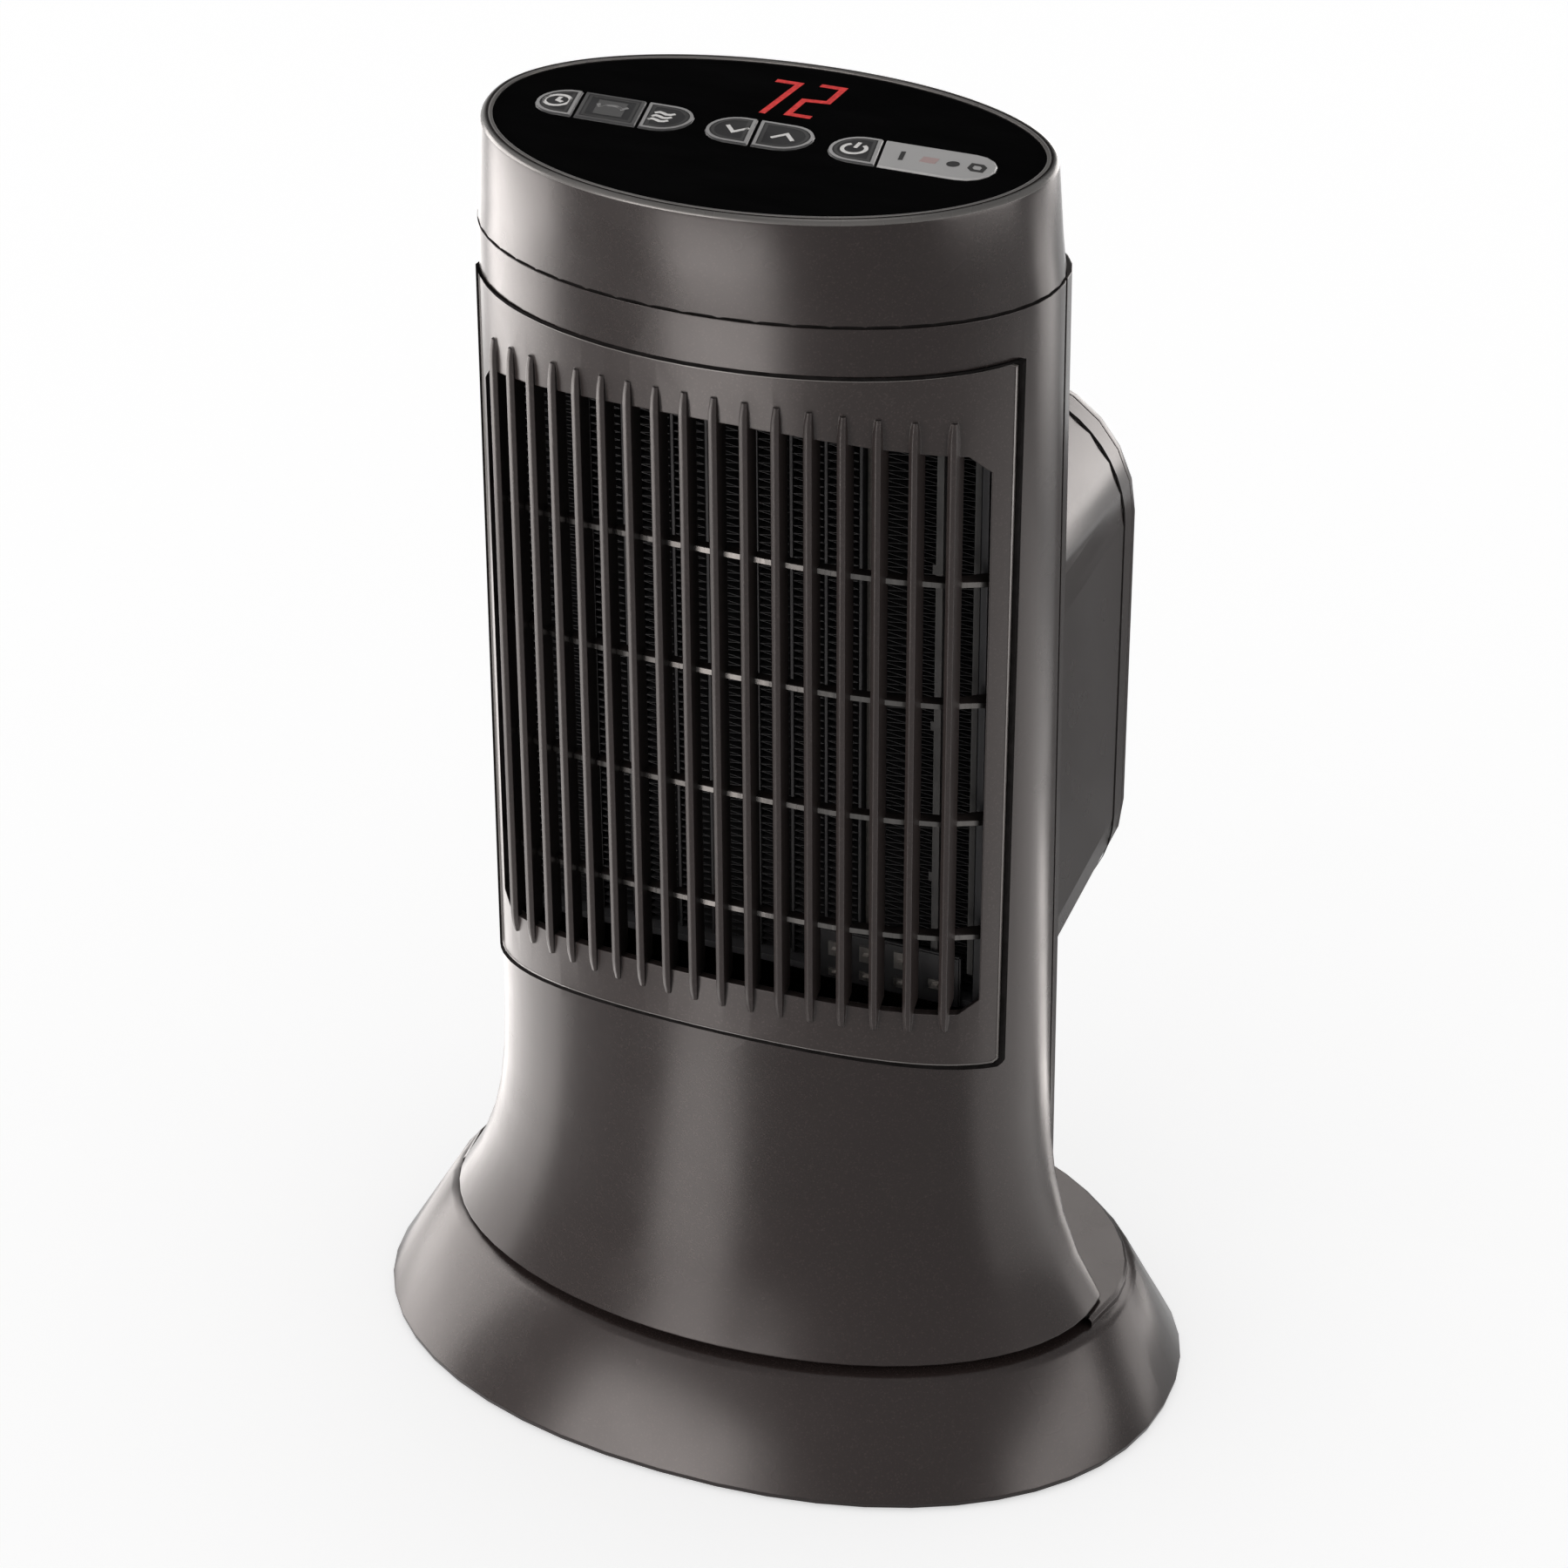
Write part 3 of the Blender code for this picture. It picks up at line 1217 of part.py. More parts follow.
def make_fin_pack(index):
    """A comb of level fins on an upright spine."""
    low = CORE_FOOT + CORE_WALL + SEAT_GAP
    high = CORE_TOP - CORE_WALL - SEAT_GAP
    rear = CORE_REAR_Y - CORE_LIP_THICKNESS - SEAT_GAP
    front = rear - FIN_PACK_DEPTH
    left, right = pack_left(index), pack_left(index) + pack_width()
    pitch = (high - low - FIN_THICKNESS) / (FIN_COUNT - 1)
    outline = [(left, low), (right, low)]
    for i in range(FIN_COUNT):
        z = low + i * pitch
        if i:
            outline.append((left + FIN_SPINE, z))
            outline.append((right, z))
        outline.append((right, z + FIN_THICKNESS))
        if i < FIN_COUNT - 1:
            outline.append((left + FIN_SPINE, z + FIN_THICKNESS))
    outline.append((left, high))
    return facing_prism(f"fin_pack_{index + 1}", outline, front, rear)


def make_ptc_bar(index):
    """The flat ceramic heating bar between two fin packs."""
    left = pack_left(index) + pack_width() + SEAT_GAP
    right = pack_left(index + 1) - SEAT_GAP
    rear = CORE_REAR_Y - CORE_LIP_THICKNESS - SEAT_GAP
    low = (left, rear - PTC_DEPTH, CORE_FOOT + CORE_WALL + SEAT_GAP)
    high = (right, rear, CORE_TOP - CORE_WALL - SEAT_GAP)
    return box(f"ptc_bar_{index + 1}", low, high)


def make_thermal_cutout():
    """The button-shaped cut-out on top of the core, with its two side tabs."""
    low = CORE_TOP + SEAT_GAP
    middle = (CORE_FRONT_Y + CORE_REAR_Y) / 2
    centre = (CUTOUT_X, middle)
    body = upright_disc("thermal_cutout", CUTOUT_RADIUS, low, low + CUTOUT_HEIGHT, centre, SMALL_ROUND_POINTS)
    half = CUTOUT_RADIUS / 3
    tabs = box(
        "tool",
        (CUTOUT_X - CUTOUT_TAB, middle - half, low),
        (CUTOUT_X + CUTOUT_TAB, middle + half, low + CUTOUT_HEIGHT / 3),
    )
    return join(body, tabs)


# Blower
def at_fan(item):
    """Takes a piece turned about Z, front end low, onto the fan's axis."""
    return move(item, Matrix.Translation((0, 0, FAN_HEIGHT)) @ Matrix.Rotation(math.radians(-90), 4, "X"))


def fan_blade(index):
    """A twisted, cambered blade lofted from the hub to the tip."""
    rings = []
    start, end = FAN_HUB_RADIUS - FAN_HUB_WALL / 2, FAN_RADIUS
    for i in range(FAN_SECTIONS + 1):
        share = i / FAN_SECTIONS
        radius = start + share * (end - start)
        tilt = FAN_ROOT_TILT + share * (FAN_TIP_TILT - FAN_ROOT_TILT)
        chord = FAN_ROOT_CHORD + share * (FAN_TIP_CHORD - FAN_ROOT_CHORD)
        upper, lower = [], []
        for j in range(FAN_CHORD_POINTS + 1):
            along = j / FAN_CHORD_POINTS - 0.5
            bow = FAN_CAMBER * (1 - 4 * along * along)
            half = FAN_BLADE_THICKNESS / 2 * (FAN_MIDDLE_SHARE - FAN_TAPER_SHARE * abs(along))
            for side, edge in ((half, upper), (-half, lower)):
                u, v = chord * along, bow + side
                sweep = u * math.cos(tilt) - v * math.sin(tilt)
                lift = u * math.sin(tilt) + v * math.cos(tilt)
                turn = sweep / radius + 2 * math.pi * index / FAN_BLADES
                edge.append(
                    (
                        radius * math.cos(turn),
                        radius * math.sin(turn),
                        FAN_FRONT_Y + FAN_DEPTH / 2 + lift,
                    )
                )
        rings.append(upper + lower[::-1])
    return loft("blade", rings)


def make_fan_rotor():
    front, rear = FAN_FRONT_Y, FAN_FRONT_Y + FAN_DEPTH
    wall = FAN_HUB_WALL
    bore = SHAFT_RADIUS + SEAT_GAP
    profile = (
        (bore, front + wall),
        (FAN_BOSS_RADIUS, front + wall),
        (FAN_BOSS_RADIUS, rear - wall),
        (FAN_HUB_RADIUS - wall, rear - wall),
        (FAN_HUB_RADIUS - wall, front),
        (FAN_HUB_RADIUS, front),
        (FAN_HUB_RADIUS, rear - wall),
        (FAN_HUB_RADIUS - wall, rear),
        (bore, rear),
    )
    rotor = turned("fan_rotor", profile)
    join(rotor, gather("tool", [fan_blade(i) for i in range(FAN_BLADES)]))
    return at_fan(rotor)


def make_motor_shaft():
    front = SHROUD_Y - SEAT_GAP - MOTOR_LENGTH / 2
    rear = FAN_FRONT_Y + FAN_DEPTH
    return at_fan(upright_disc("motor_shaft", SHAFT_RADIUS, front, rear, (0, 0), SMALL_ROUND_POINTS))


def make_fan_shroud():
    """A plate across the hump with a throat round the fan."""
    front, rear = SHROUD_Y, SHROUD_Y + SHROUD_THICKNESS
    inset = TOWER_WALL + SEAT_GAP
    rings = [[(x, y, z) for x, z in hump_outline(rear, inset)] for y in (front, rear)]
    plate = loft("fan_shroud", rings)
    centre = (0, FAN_HEIGHT)
    outer = SHROUD_THROAT + SHROUD_WALL
    join(plate, facing_disc("tool", outer, rear - SHROUD_THICKNESS / 2, front + SHROUD_DEPTH, centre))
    throat = facing_disc("tool", SHROUD_THROAT, front - OVERRUN, front + SHROUD_DEPTH + OVERRUN, centre)
    return cut(plate, throat)


def make_fan_motor():
    """The motor, front to back: a round can, a boss at each end, and the shaft's bore."""
    rear = SHROUD_Y - SEAT_GAP
    front = rear - MOTOR_LENGTH
    profile = [
        (MOTOR_BOSS_RADIUS, front - MOTOR_BOSS_LENGTH),
        (MOTOR_BOSS_RADIUS, front),
        (MOTOR_RADIUS, front),
        (MOTOR_RADIUS, rear),
        (MOTOR_BOSS_RADIUS, rear),
        (MOTOR_BOSS_RADIUS, rear + MOTOR_BOSS_LENGTH),
    ]
    rings = [[(x, y, z) for x, y in circle(r, ROUND_POINTS)] for r, z in profile]
    motor = loft("fan_motor", rings)
    start = rear - MOTOR_LENGTH / 2 - SEAT_GAP
    end = rear + MOTOR_BOSS_LENGTH + OVERRUN
    bore = upright_disc("tool", SHAFT_RADIUS + SEAT_GAP, start, end, (0, 0), SMALL_ROUND_POINTS)
    return at_fan(cut(motor, bore))


def make_motor_mount():
    """A ring round the motor on arms that are seated on the shroud."""
    rear = SHROUD_Y - SEAT_GAP
    front = rear - MOUNT_RING_DEPTH
    inner = MOTOR_RADIUS + SEAT_GAP
    outer = inner + MOUNT_RING_WALL
    mount = turned("motor_mount", ((inner, front), (outer, front), (outer, rear), (inner, rear)))
    reach = SHROUD_THROAT + MOUNT_ARM_LAP
    half = MOUNT_ARM_WIDTH / 2
    for i in range(MOUNT_ARMS):
        arm = box(
            "tool",
            (inner + MOUNT_RING_WALL / 2, -half, rear - MOUNT_ARM_THICKNESS),
            (reach, half, rear),
        )
        move(arm, Matrix.Rotation(math.pi * (2 * i + 1) / MOUNT_ARMS, 4, "Z"))
        join(mount, arm)
    return at_fan(mount)


def make_power_board():
    """The upright board on the tower's floor, with its relays."""
    low = FLOOR_HEIGHT + FLOOR_THICKNESS + SEAT_GAP
    rear = POWER_BOARD_Y + BOARD_THICKNESS
    half = POWER_BOARD_HALF_WIDTH
    board = box("power_board", (-half, POWER_BOARD_Y, low), (half, rear, low + POWER_BOARD_HEIGHT))
    relays = []
    for i in range(RELAY_COUNT):
        x = (2 * i - RELAY_COUNT + 1) * RELAY_OFFSET
        z = low + POWER_BOARD_HEIGHT / 2
        start = (x - RELAY_WIDTH / 2, POWER_BOARD_Y - RELAY_DEPTH, z)
        end = (x + RELAY_WIDTH / 2, POWER_BOARD_Y + BOARD_THICKNESS / 2, z + RELAY_HEIGHT)
        relays.append(box("relay", start, end))
    return join(board, gather("tool", relays))


# Assembly
def finish(item, material, carrier):
    """Gives a piece its material and smooth shading, and parents it to what carries it."""
    item.data.materials.clear()
    item.data.materials.append(material)
    item.data.shade_smooth()
    item.data.set_sharp_from_angle(angle=SMOOTH_ANGLE)
    if carrier:
        item.parent = carrier
        item.matrix_parent_inverse = carrier.matrix_world.inverted()
    return item


def add_axis(name, place, carrier=None):
    """An empty on the axis that a moving piece turns about or slides along."""
    empty = bpy.data.objects.new(name, None)
    empty.empty_display_size = SPINDLE_RADIUS
    bpy.context.scene.collection.objects.link(empty)
    empty.location = place
    bpy.context.view_layer.update()
    if carrier:
        empty.parent = carrier
        empty.matrix_parent_inverse = carrier.matrix_world.inverted()
        bpy.context.view_layer.update()
    return empty


def main():
    clear_scene()
    shell = plastic("warm_grey_shell", (0.115, 0.105, 0.098), 0.36, 0.35)
    dark = plastic("dark_grille", (0.085, 0.078, 0.073), 0.42, 0.25)
    gloss = plastic("gloss_black", (0.006, 0.006, 0.006), 0.08)
    key = plastic("key_grey", (0.16, 0.16, 0.16), 0.40)
    lens = plastic("lens_grey", (0.36, 0.36, 0.36), 0.35)
    black = plastic("black_plastic", (0.012, 0.012, 0.012), 0.55)
    rubber = plastic("rubber", (0.02, 0.02, 0.02), 0.85)
    white = plastic("white_nylon", (0.62, 0.60, 0.55), 0.45)
    metal = plastic("bright_metal", (0.62, 0.62, 0.62), 0.35, 1.0)
    ceramic = plastic("ceramic", (0.35, 0.33, 0.30), 0.60)
    board = plastic("circuit_board", (0.02, 0.10, 0.045), 0.50)
    mesh = plastic("filter_mesh", (0.03, 0.03, 0.032), 0.75)

    tower = add_axis("tower_axis", (0, TOWER_Y, SKIRT_HEIGHT))
    pinion = add_axis("pinion_axis", (0, PINION_Y, GEAR_FOOT))
    plunger = add_axis("plunger_axis", (TIP_X, TIP_Y, SEAT_GAP))
    fan = add_axis("fan_axis", (0, FAN_FRONT_Y, FAN_HEIGHT), tower)
    cover = add_axis("cover_axis", (0, HUMP_REAR_Y, FAN_HEIGHT), tower)

    finish(make_base_shell(), shell, None)
    finish(make_base_plate(), black, None)
    for name, centre in foot_centres().items():
        finish(make_foot(name, centre), rubber, None)
    finish(make_bearing_ring(), white, None)
    finish(make_swing_motor(), metal, None)
    finish(make_tip_switch_case(), black, None)
    finish(make_cord_gland(), black, None)
    finish(make_swing_pinion(), white, pinion)
    finish(make_tip_switch_plunger(), white, plunger)

    finish(make_front_shell(), shell, tower)
    finish(make_rear_shell(), shell, tower)
    finish(make_top_cap(), shell, tower)
    finish(make_outlet_grille(), dark, tower)
    finish(make_tower_floor(), black, tower)
    finish(make_spindle_clip(), white, tower)
    finish(make_swing_gear(), white, tower)
    finish(make_control_panel(), gloss, tower)
    finish(make_indicator_lens(), lens, tower)
    finish(make_control_board(), board, tower)
    finish(make_display_module(), black, tower)
    for name, left, right, round_left, round_right in key_cells():
        place = PANEL_TILT @ Vector(((left + right) / 2, PILL_Y - TOWER_Y, 0))
        axis = add_axis(f"{name}_axis", place, tower)
        finish(make_key(name, left, right, round_left, round_right), key, axis)
    finish(make_core_frame(), black, tower)
    for index in range(FIN_PACK_COUNT):
        finish(make_fin_pack(index), metal, tower)
    for index in range(FIN_PACK_COUNT - 1):
        finish(make_ptc_bar(index), ceramic, tower)
    finish(make_thermal_cutout(), metal, tower)
    finish(make_fan_shroud(), black, tower)
    finish(make_fan_motor(), metal, tower)
    finish(make_motor_mount(), black, tower)
    finish(make_power_board(), board, tower)
    finish(make_fan_rotor(), black, fan)
    finish(make_motor_shaft(), metal, fan)
    finish(make_rear_cover(), shell, cover)
    finish(make_dust_filter(), mesh, cover)


main()
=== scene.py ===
"""Finishes, printed signs, small fittings, studio and camera for the compact tower heater."""

import json
import math

import bmesh
import bpy
from mathutils import Matrix, Vector
from mathutils.bvhtree import BVHTree

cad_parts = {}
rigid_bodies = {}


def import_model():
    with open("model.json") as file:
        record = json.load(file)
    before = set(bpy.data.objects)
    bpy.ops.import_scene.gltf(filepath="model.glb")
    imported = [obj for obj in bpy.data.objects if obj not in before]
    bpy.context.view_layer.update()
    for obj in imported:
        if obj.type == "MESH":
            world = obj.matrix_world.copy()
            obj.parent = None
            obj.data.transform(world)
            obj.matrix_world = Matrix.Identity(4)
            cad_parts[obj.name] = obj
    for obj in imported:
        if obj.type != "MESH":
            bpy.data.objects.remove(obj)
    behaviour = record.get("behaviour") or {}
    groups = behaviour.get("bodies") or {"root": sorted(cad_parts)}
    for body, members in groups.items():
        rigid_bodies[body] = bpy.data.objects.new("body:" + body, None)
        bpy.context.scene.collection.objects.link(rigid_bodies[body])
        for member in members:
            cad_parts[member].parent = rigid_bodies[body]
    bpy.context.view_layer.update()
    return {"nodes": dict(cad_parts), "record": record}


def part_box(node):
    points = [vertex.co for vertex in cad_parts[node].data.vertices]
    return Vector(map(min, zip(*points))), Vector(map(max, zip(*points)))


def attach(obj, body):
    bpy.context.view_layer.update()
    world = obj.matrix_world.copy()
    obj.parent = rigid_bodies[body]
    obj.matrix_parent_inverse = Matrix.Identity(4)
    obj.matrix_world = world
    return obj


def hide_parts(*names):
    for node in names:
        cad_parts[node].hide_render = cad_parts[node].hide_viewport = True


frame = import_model()
MM = 0.001

# Camera, fitted to the photograph's outlines, with its angles in degrees
CAMERA_PLACE = Vector((461.6, -1017.3, 838.8)) * MM
CAMERA_AZIMUTH = 23.64
CAMERA_ELEVATION = 29.68
FOCAL_PIXELS = 4959
IMAGE_PIXELS = 1800
CENTRE_PIXEL_X = 951.2
CENTRE_PIXEL_Y = 874.2
SENSOR = 36.0

# Shading of the CAD meshes: which edges stay sharp or are eased, and how wide each slot's edges are eased
SHARP_ANGLE = math.radians(33)
EASED_ANGLE = math.radians(40)
EASED_WIDTH = {"shell": 0.45 * MM, "grille": 0.30 * MM, "keys": 0.15 * MM, "inner_black": 0.2 * MM}
NOT_EASED = ("rear_cover",)
MERGE_DISTANCE = 0.002 * MM
SOFT_EDGE = 0.5 * MM

# Cap and leaning panel
TOWER_Y = -4.0 * MM
TOP_HEIGHT = 404.0 * MM
PANEL_LEAN = math.atan(0.030)
PANEL_DROP = 0.3 * MM
CAP_HALF_WIDTH = 86.3 * MM
CAP_FRONT = 56.0 * MM
CAP_REAR = 50.0 * MM
LIP_REAR = 46.5 * MM
LIP_SIDE_DRAW = 3.0 * MM
LIP_FRONT_GROWTH = 2.3 * MM
LIP_REAR_DRAW = 2.4 * MM
OVAL_STEPS = 144
# Points of two sections, the bead and the lip facing that carry painted highlights: share of the way from the
# cap's foot to its lip, then set-in and height in mm
BEAD_PROFILE = (
    (1.0, 3.30, -0.30), (1.0, 3.25, 0.02), (1.0, 2.90, 0.14),
    (1.0, 2.45, 0.12), (1.0, 2.15, 0.02), (1.0, 2.15, -0.12),
)
LIP_PROFILE = (
    (1.0, 1.55, -0.10), (1.0, 1.50, 0.06), (1.0, 1.10, 0.07), (0.975, 0.60, -0.28),
    (0.95, 0.17, -0.74), (0.935, 0.00, -1.25), (0.93, 0.14, -1.45), (1.0, 1.40, -0.50),
)
# The painted shade strip over the gap under the cap: points of its section, as height and rise from the cap's
# foot, in mm
CAP_SEAM_PROFILE = ((371.5, -0.1), (372.1, -0.16), (372.1, 0.0), (371.5, 0.05))

# Keys and signs
KEY_TOP = 0.1 * MM
KEY_TAB = 0.9 * MM
KEY_LEAN = 0.25
SIGN_THICKNESS = 0.05 * MM
SIGN_WIDTH = 1.15 * MM
RIM_WIDTH = 0.90 * MM
RIM_INSET = 0.85 * MM
INNER_RIM_INSET = 2.2 * MM
DIGIT_WIDTH = 1.9 * MM
LENS_MARK_Y = -8.3 * MM
LENS_MARK_WIDTH = 1.3 * MM
SAME_PLACE = 1e-9
# How many times its own width a stroke may reach where it bends
MITRE_LIMIT = 2.0
# Whether a key's left and right ends are round
KEY_ENDS = {
    "key_timer": (True, False),
    "key_swing": (False, False),
    "key_heat": (False, True),
    "key_down": (True, False),
    "key_up": (False, True),
    "key_power": (True, False),
}
SWING_FIELD = ((-5.6, -4.6), (3.2, -4.6), (5.6, 4.6), (-3.2, 4.6))
HEAT_WAVE = ((-2.9, -1.1), (-1.8, -0.2), (-0.4, -0.6), (0.7, -1.2), (2.0, -0.9), (2.9, 0.0))
SEVEN = ((0.0, 1.0), (1.0, 1.0), (1.0, 0.0))
TWO = ((0.0, 1.0), (1.0, 1.0), (1.0, 0.52), (0.0, 0.48), (0.0, 0.0), (1.0, 0.0))

# The outlet's frame, its seams and its ribs
FRAME_FOOT = 144.3 * MM
ARCH_WIDTH = 80.0 * MM
ARCH_DROP = 11.5 * MM
SEAM_CORNER = 1.0 * MM
SEAM_STEPS = 60
SEAM_SINK = 0.10 * MM
SEAM_LIFT = 0.11 * MM
BLADE_PITCH = 8.7 * MM
BLADE_HALF_WIDTH = 1.22 * MM
RIB_HALF_WIDTH = 76.4 * MM
RIB_ZONE = (165 * MM, 345 * MM)
RIB_SCAN = 0.25 * MM
RIB_REAR_LIMIT = -10 * MM
FACING_HALF_HEIGHT = 0.8 * MM
FACING_THICKNESS = 0.3 * MM
FAR_AHEAD = -0.2

# The painted shade line round the rear housing, a dark strip in place of a groove: points of its section, as
# place along the depth and rise, in mm
HOUSING_SHADE_PROFILE = ((74.3, -0.1), (75.7, -0.1), (75.7, 0.06), (74.3, 0.12))
HOUSING_SHADE_HALF_WIDTH = 79.72 * MM
HOUSING_SHADE_MARGIN = 0.22 * MM
HOUSING_CORNER = 40.0 * MM

# Heater core, filter and screws
PLEAT_COLUMNS = 3
PLEAT_PLATE = 0.8 * MM
PLEAT_SHEET = 0.16 * MM
PLEAT_PITCH = 2.5 * MM
FILTER_INSET = 3.0 * MM
FILTER_CORNER = 31.0 * MM
FILTER_HALF_THICKNESS = 0.1 * MM
# The terminal strip's depth and, for each lug, its place across, its height and its half height, in mm
TERMINAL_DEPTH = 1.9
LUGS = (
    (29.5, 3.0, 1.2), (29.5, 11.2, 2.4), (39.5, 4.0, 1.4), (39.5, 11.5, 2.6),
    (50.5, 4.6, 1.6), (50.5, 12.2, 2.8), (61.5, 7.0, 1.6),
)
SCREW_PLACES = ((-58, -58), (58, -58), (-58, 58), (58, 58))
SCREW_RADIUS = 3.2 * MM
SCREW_DEPTH = 1.3 * MM
SCREW_STEPS = 24

# Studio
LAMP_COLOUR = (1.0, 0.945, 0.915)
ROOM_LIGHT = 0.50
FLOOR_GLOW = 0.56
FLOOR_REACH = 6.0
LYING_HEIGHT = 2 * MM
# The dark flag of the room, in degrees: its elevation, and where it fades out and is full, from its middle
FLAG_ELEVATION = 32
FLAG_OUTER = 25
FLAG_INNER = 15


class Nodes:
    """A node tree whose nodes are added and linked one by one."""

    def __init__(self, tree):
        self.tree = tree

    def link(self, socket, target):
        self.tree.links.new(socket, target)

    def add(self, kind, inputs=None, **settings):
        node = self.tree.nodes.new(kind)
        for key, value in settings.items():
            setattr(node, key, value)
        for key, value in (inputs or {}).items():
            if hasattr(value, "is_linked"):
                self.link(value, node.inputs[key])
            else:
                node.inputs[key].default_value = value
        return node

    def combine(self, operation, first, second):
        return self.add("ShaderNodeMath", {0: first, 1: second}, operation=operation).outputs[0]

    def span(self, value, low, high, start=0.0, end=1.0):
        """Maps value from low..high onto start..end."""
        inputs = {"Value": value, "From Min": low, "From Max": high, "To Min": start, "To Max": end}
        return self.add("ShaderNodeMapRange", inputs).outputs["Result"]

    def blend(self, factor, first, second):
        node = self.add("ShaderNodeMix", data_type="RGBA")
        sockets = [s for s in node.inputs if s.type == "RGBA"]
        for socket, value in zip(sockets, (first, second)):
            if hasattr(value, "is_linked"):
                self.link(value, socket)
            else:
                socket.default_value = (*value, 1.0)
        self.link(factor, node.inputs[0])
        return [s for s in node.outputs if s.type == "RGBA"][0]

    def backdrop_rays(self):
        """1 for rays that show the backdrop: seen straight, mirrored or through glass."""
        rays = self.add("ShaderNodeLightPath").outputs
        seen = self.combine("MAXIMUM", rays["Is Camera Ray"], rays["Is Glossy Ray"])
        return self.combine("MAXIMUM", seen, rays["Is Transmission Ray"])


class Finish(Nodes):
    """A material, made from its shader's plain values and then node by node."""

    def __init__(self, name, roughness, metallic=0.0, specular=0.5):
        self.material = bpy.data.materials.new(name)
        self.material.use_nodes = True
        super().__init__(self.material.node_tree)
        self.shader = self.tree.nodes["Principled BSDF"]
        self.shader.inputs["Roughness"].default_value = roughness
        self.shader.inputs["Metallic"].default_value = metallic
        self.shader.inputs["Specular IOR Level"].default_value = specular
        self.place = self.tree.nodes.new("ShaderNodeTexCoord").outputs["Object"]

    def drive(self, name, socket):
        self.link(socket, self.shader.inputs[name])

    def noise(self, scale, detail=2.0, roughness=0.5, vector=None):
        values = {"Vector": vector or self.place, "Scale": scale, "Detail": detail, "Roughness": roughness}
        return self.add("ShaderNodeTexNoise", values).outputs["Fac"]

    def stretched(self, x, y, z):
        values = {"Vector": self.place, "Scale": (x, y, z)}
        return self.add("ShaderNodeMapping", values).outputs["Vector"]

    def mottle(self, texture, low, high, first, second):
        """Colours the surface from first to second as the texture rises from low to high."""
        self.drive("Base Color", self.blend(self.span(texture, low, high), first, second))

    def level_glare(self):
        """1 where a face that looks up is seen at a low angle, and 0 elsewhere."""
        normal = self.add("ShaderNodeNewGeometry").outputs["Normal"]
        up = self.add("ShaderNodeSeparateXYZ", {"Vector": normal}).outputs["Z"]
        low = self.add("ShaderNodeLayerWeight", {"Blend": 0.5}).outputs["Facing"]
        return self.combine("MULTIPLY", self.span(up, 0.80, 0.97), self.span(low, 0.60, 0.76))

    def dull_glare(self, glare, full, dulled):
        """Takes the mirror image off level faces where it would blind."""
        self.drive("Specular IOR Level", self.span(glare, 0.0, 1.0, full, dulled))

    def bumps(self, *layers, edge=0.0):
        """Stacks (height socket, strength, distance) layers into the normal, over softly rounded edges."""
        normal = self.add("ShaderNodeBevel", {"Radius": edge}, samples=6).outputs["Normal"] if edge else None
        for height, strength, distance in layers:
            values = {"Height": height, "Strength": strength, "Distance": distance}
            if normal:
                values["Normal"] = normal
            normal = self.add("ShaderNodeBump", values).outputs["Normal"]
        self.drive("Normal", normal)


def grey(value):
    return (value, value, value)


def satin_paint(name, light, dark, roughness):
    """Dark satin paint with a little metal in it: fine flakes, a slight orange peel and cloudy tone."""
    metallic, specular = 0.2, 0.25
    finish = Finish(name, roughness, metallic, specular)
    flakes = finish.add("ShaderNodeTexVoronoi", {"Vector": finish.place, "Scale": 2600.0}).outputs["Color"]
    flake_tone = finish.add("ShaderNodeSeparateColor", {"Color": flakes}).outputs["Red"]
    tone = finish.span(finish.noise(9.0, 3.0), 0.3, 0.7)
    spark = finish.span(flake_tone, 0.82, 1.0, 0.0, 0.30)
    bright = tuple(c * 3.0 for c in light)
    finish.drive("Base Color", finish.blend(spark, finish.blend(tone, dark, light), bright))
    spread = finish.span(finish.noise(60.0, 2.0), 0.3, 0.7, roughness - 0.02, roughness + 0.02)
    glare = finish.level_glare()
    finish.drive("Roughness", finish.span(glare, 0.0, 1.0, spread, 0.85))
    finish.dull_glare(glare, specular, 0.03)
    finish.drive("Metallic", finish.span(glare, 0.0, 1.0, metallic, 0.0))
    peel = (finish.noise(420.0, 1.0), 0.05, 0.2 * MM)
    finish.bumps(peel, (flake_tone, 0.05, 0.02 * MM), edge=SOFT_EDGE)
    return finish.material


def moulded_plastic(name, light, dark, roughness, grain=1500.0, depth=0.12, metallic=0.0):
    """Moulded plastic with an etched grain."""
    specular = 0.4
    finish = Finish(name, roughness, metallic, specular)
    finish.mottle(finish.noise(22.0, 3.0), 0.3, 0.7, dark, light)
    patches = finish.noise(90.0, 2.0)
    finish.drive("Roughness", finish.span(patches, 0.3, 0.7, roughness - 0.05, roughness + 0.05))
    finish.dull_glare(finish.level_glare(), specular, 0.04)
    finish.bumps((finish.noise(grain, 2.0), depth, 0.08 * MM))
    return finish.material


def gloss_black():
    """The smoked top panel: deep black gloss with faint wiping marks."""
    specular = 0.08
    finish = Finish("gloss_black_panel", 0.06, specular=specular)
    smears = finish.noise(1.0, 4.0, 0.6, finish.stretched(30.0, 90.0, 30.0))
    finish.mottle(smears, 0.3, 0.8, (0.0016, 0.0016, 0.0017), (0.0028, 0.0028, 0.003))
    finish.drive("Roughness", finish.span(smears, 0.35, 0.75, 0.05, 0.10))
    finish.dull_glare(finish.level_glare(), specular, 0.0)
    finish.bumps((finish.noise(30.0, 1.0), 0.02, 0.1 * MM))
    return finish.material


def rubber():
    finish = Finish("black_rubber", 0.85, specular=0.25)
    finish.mottle(finish.noise(140.0, 4.0, 0.7), 0.45, 0.8, grey(0.014), (0.05, 0.048, 0.045))
    finish.bumps((finish.noise(900.0, 3.0), 0.25, 0.1 * MM))
    return finish.material


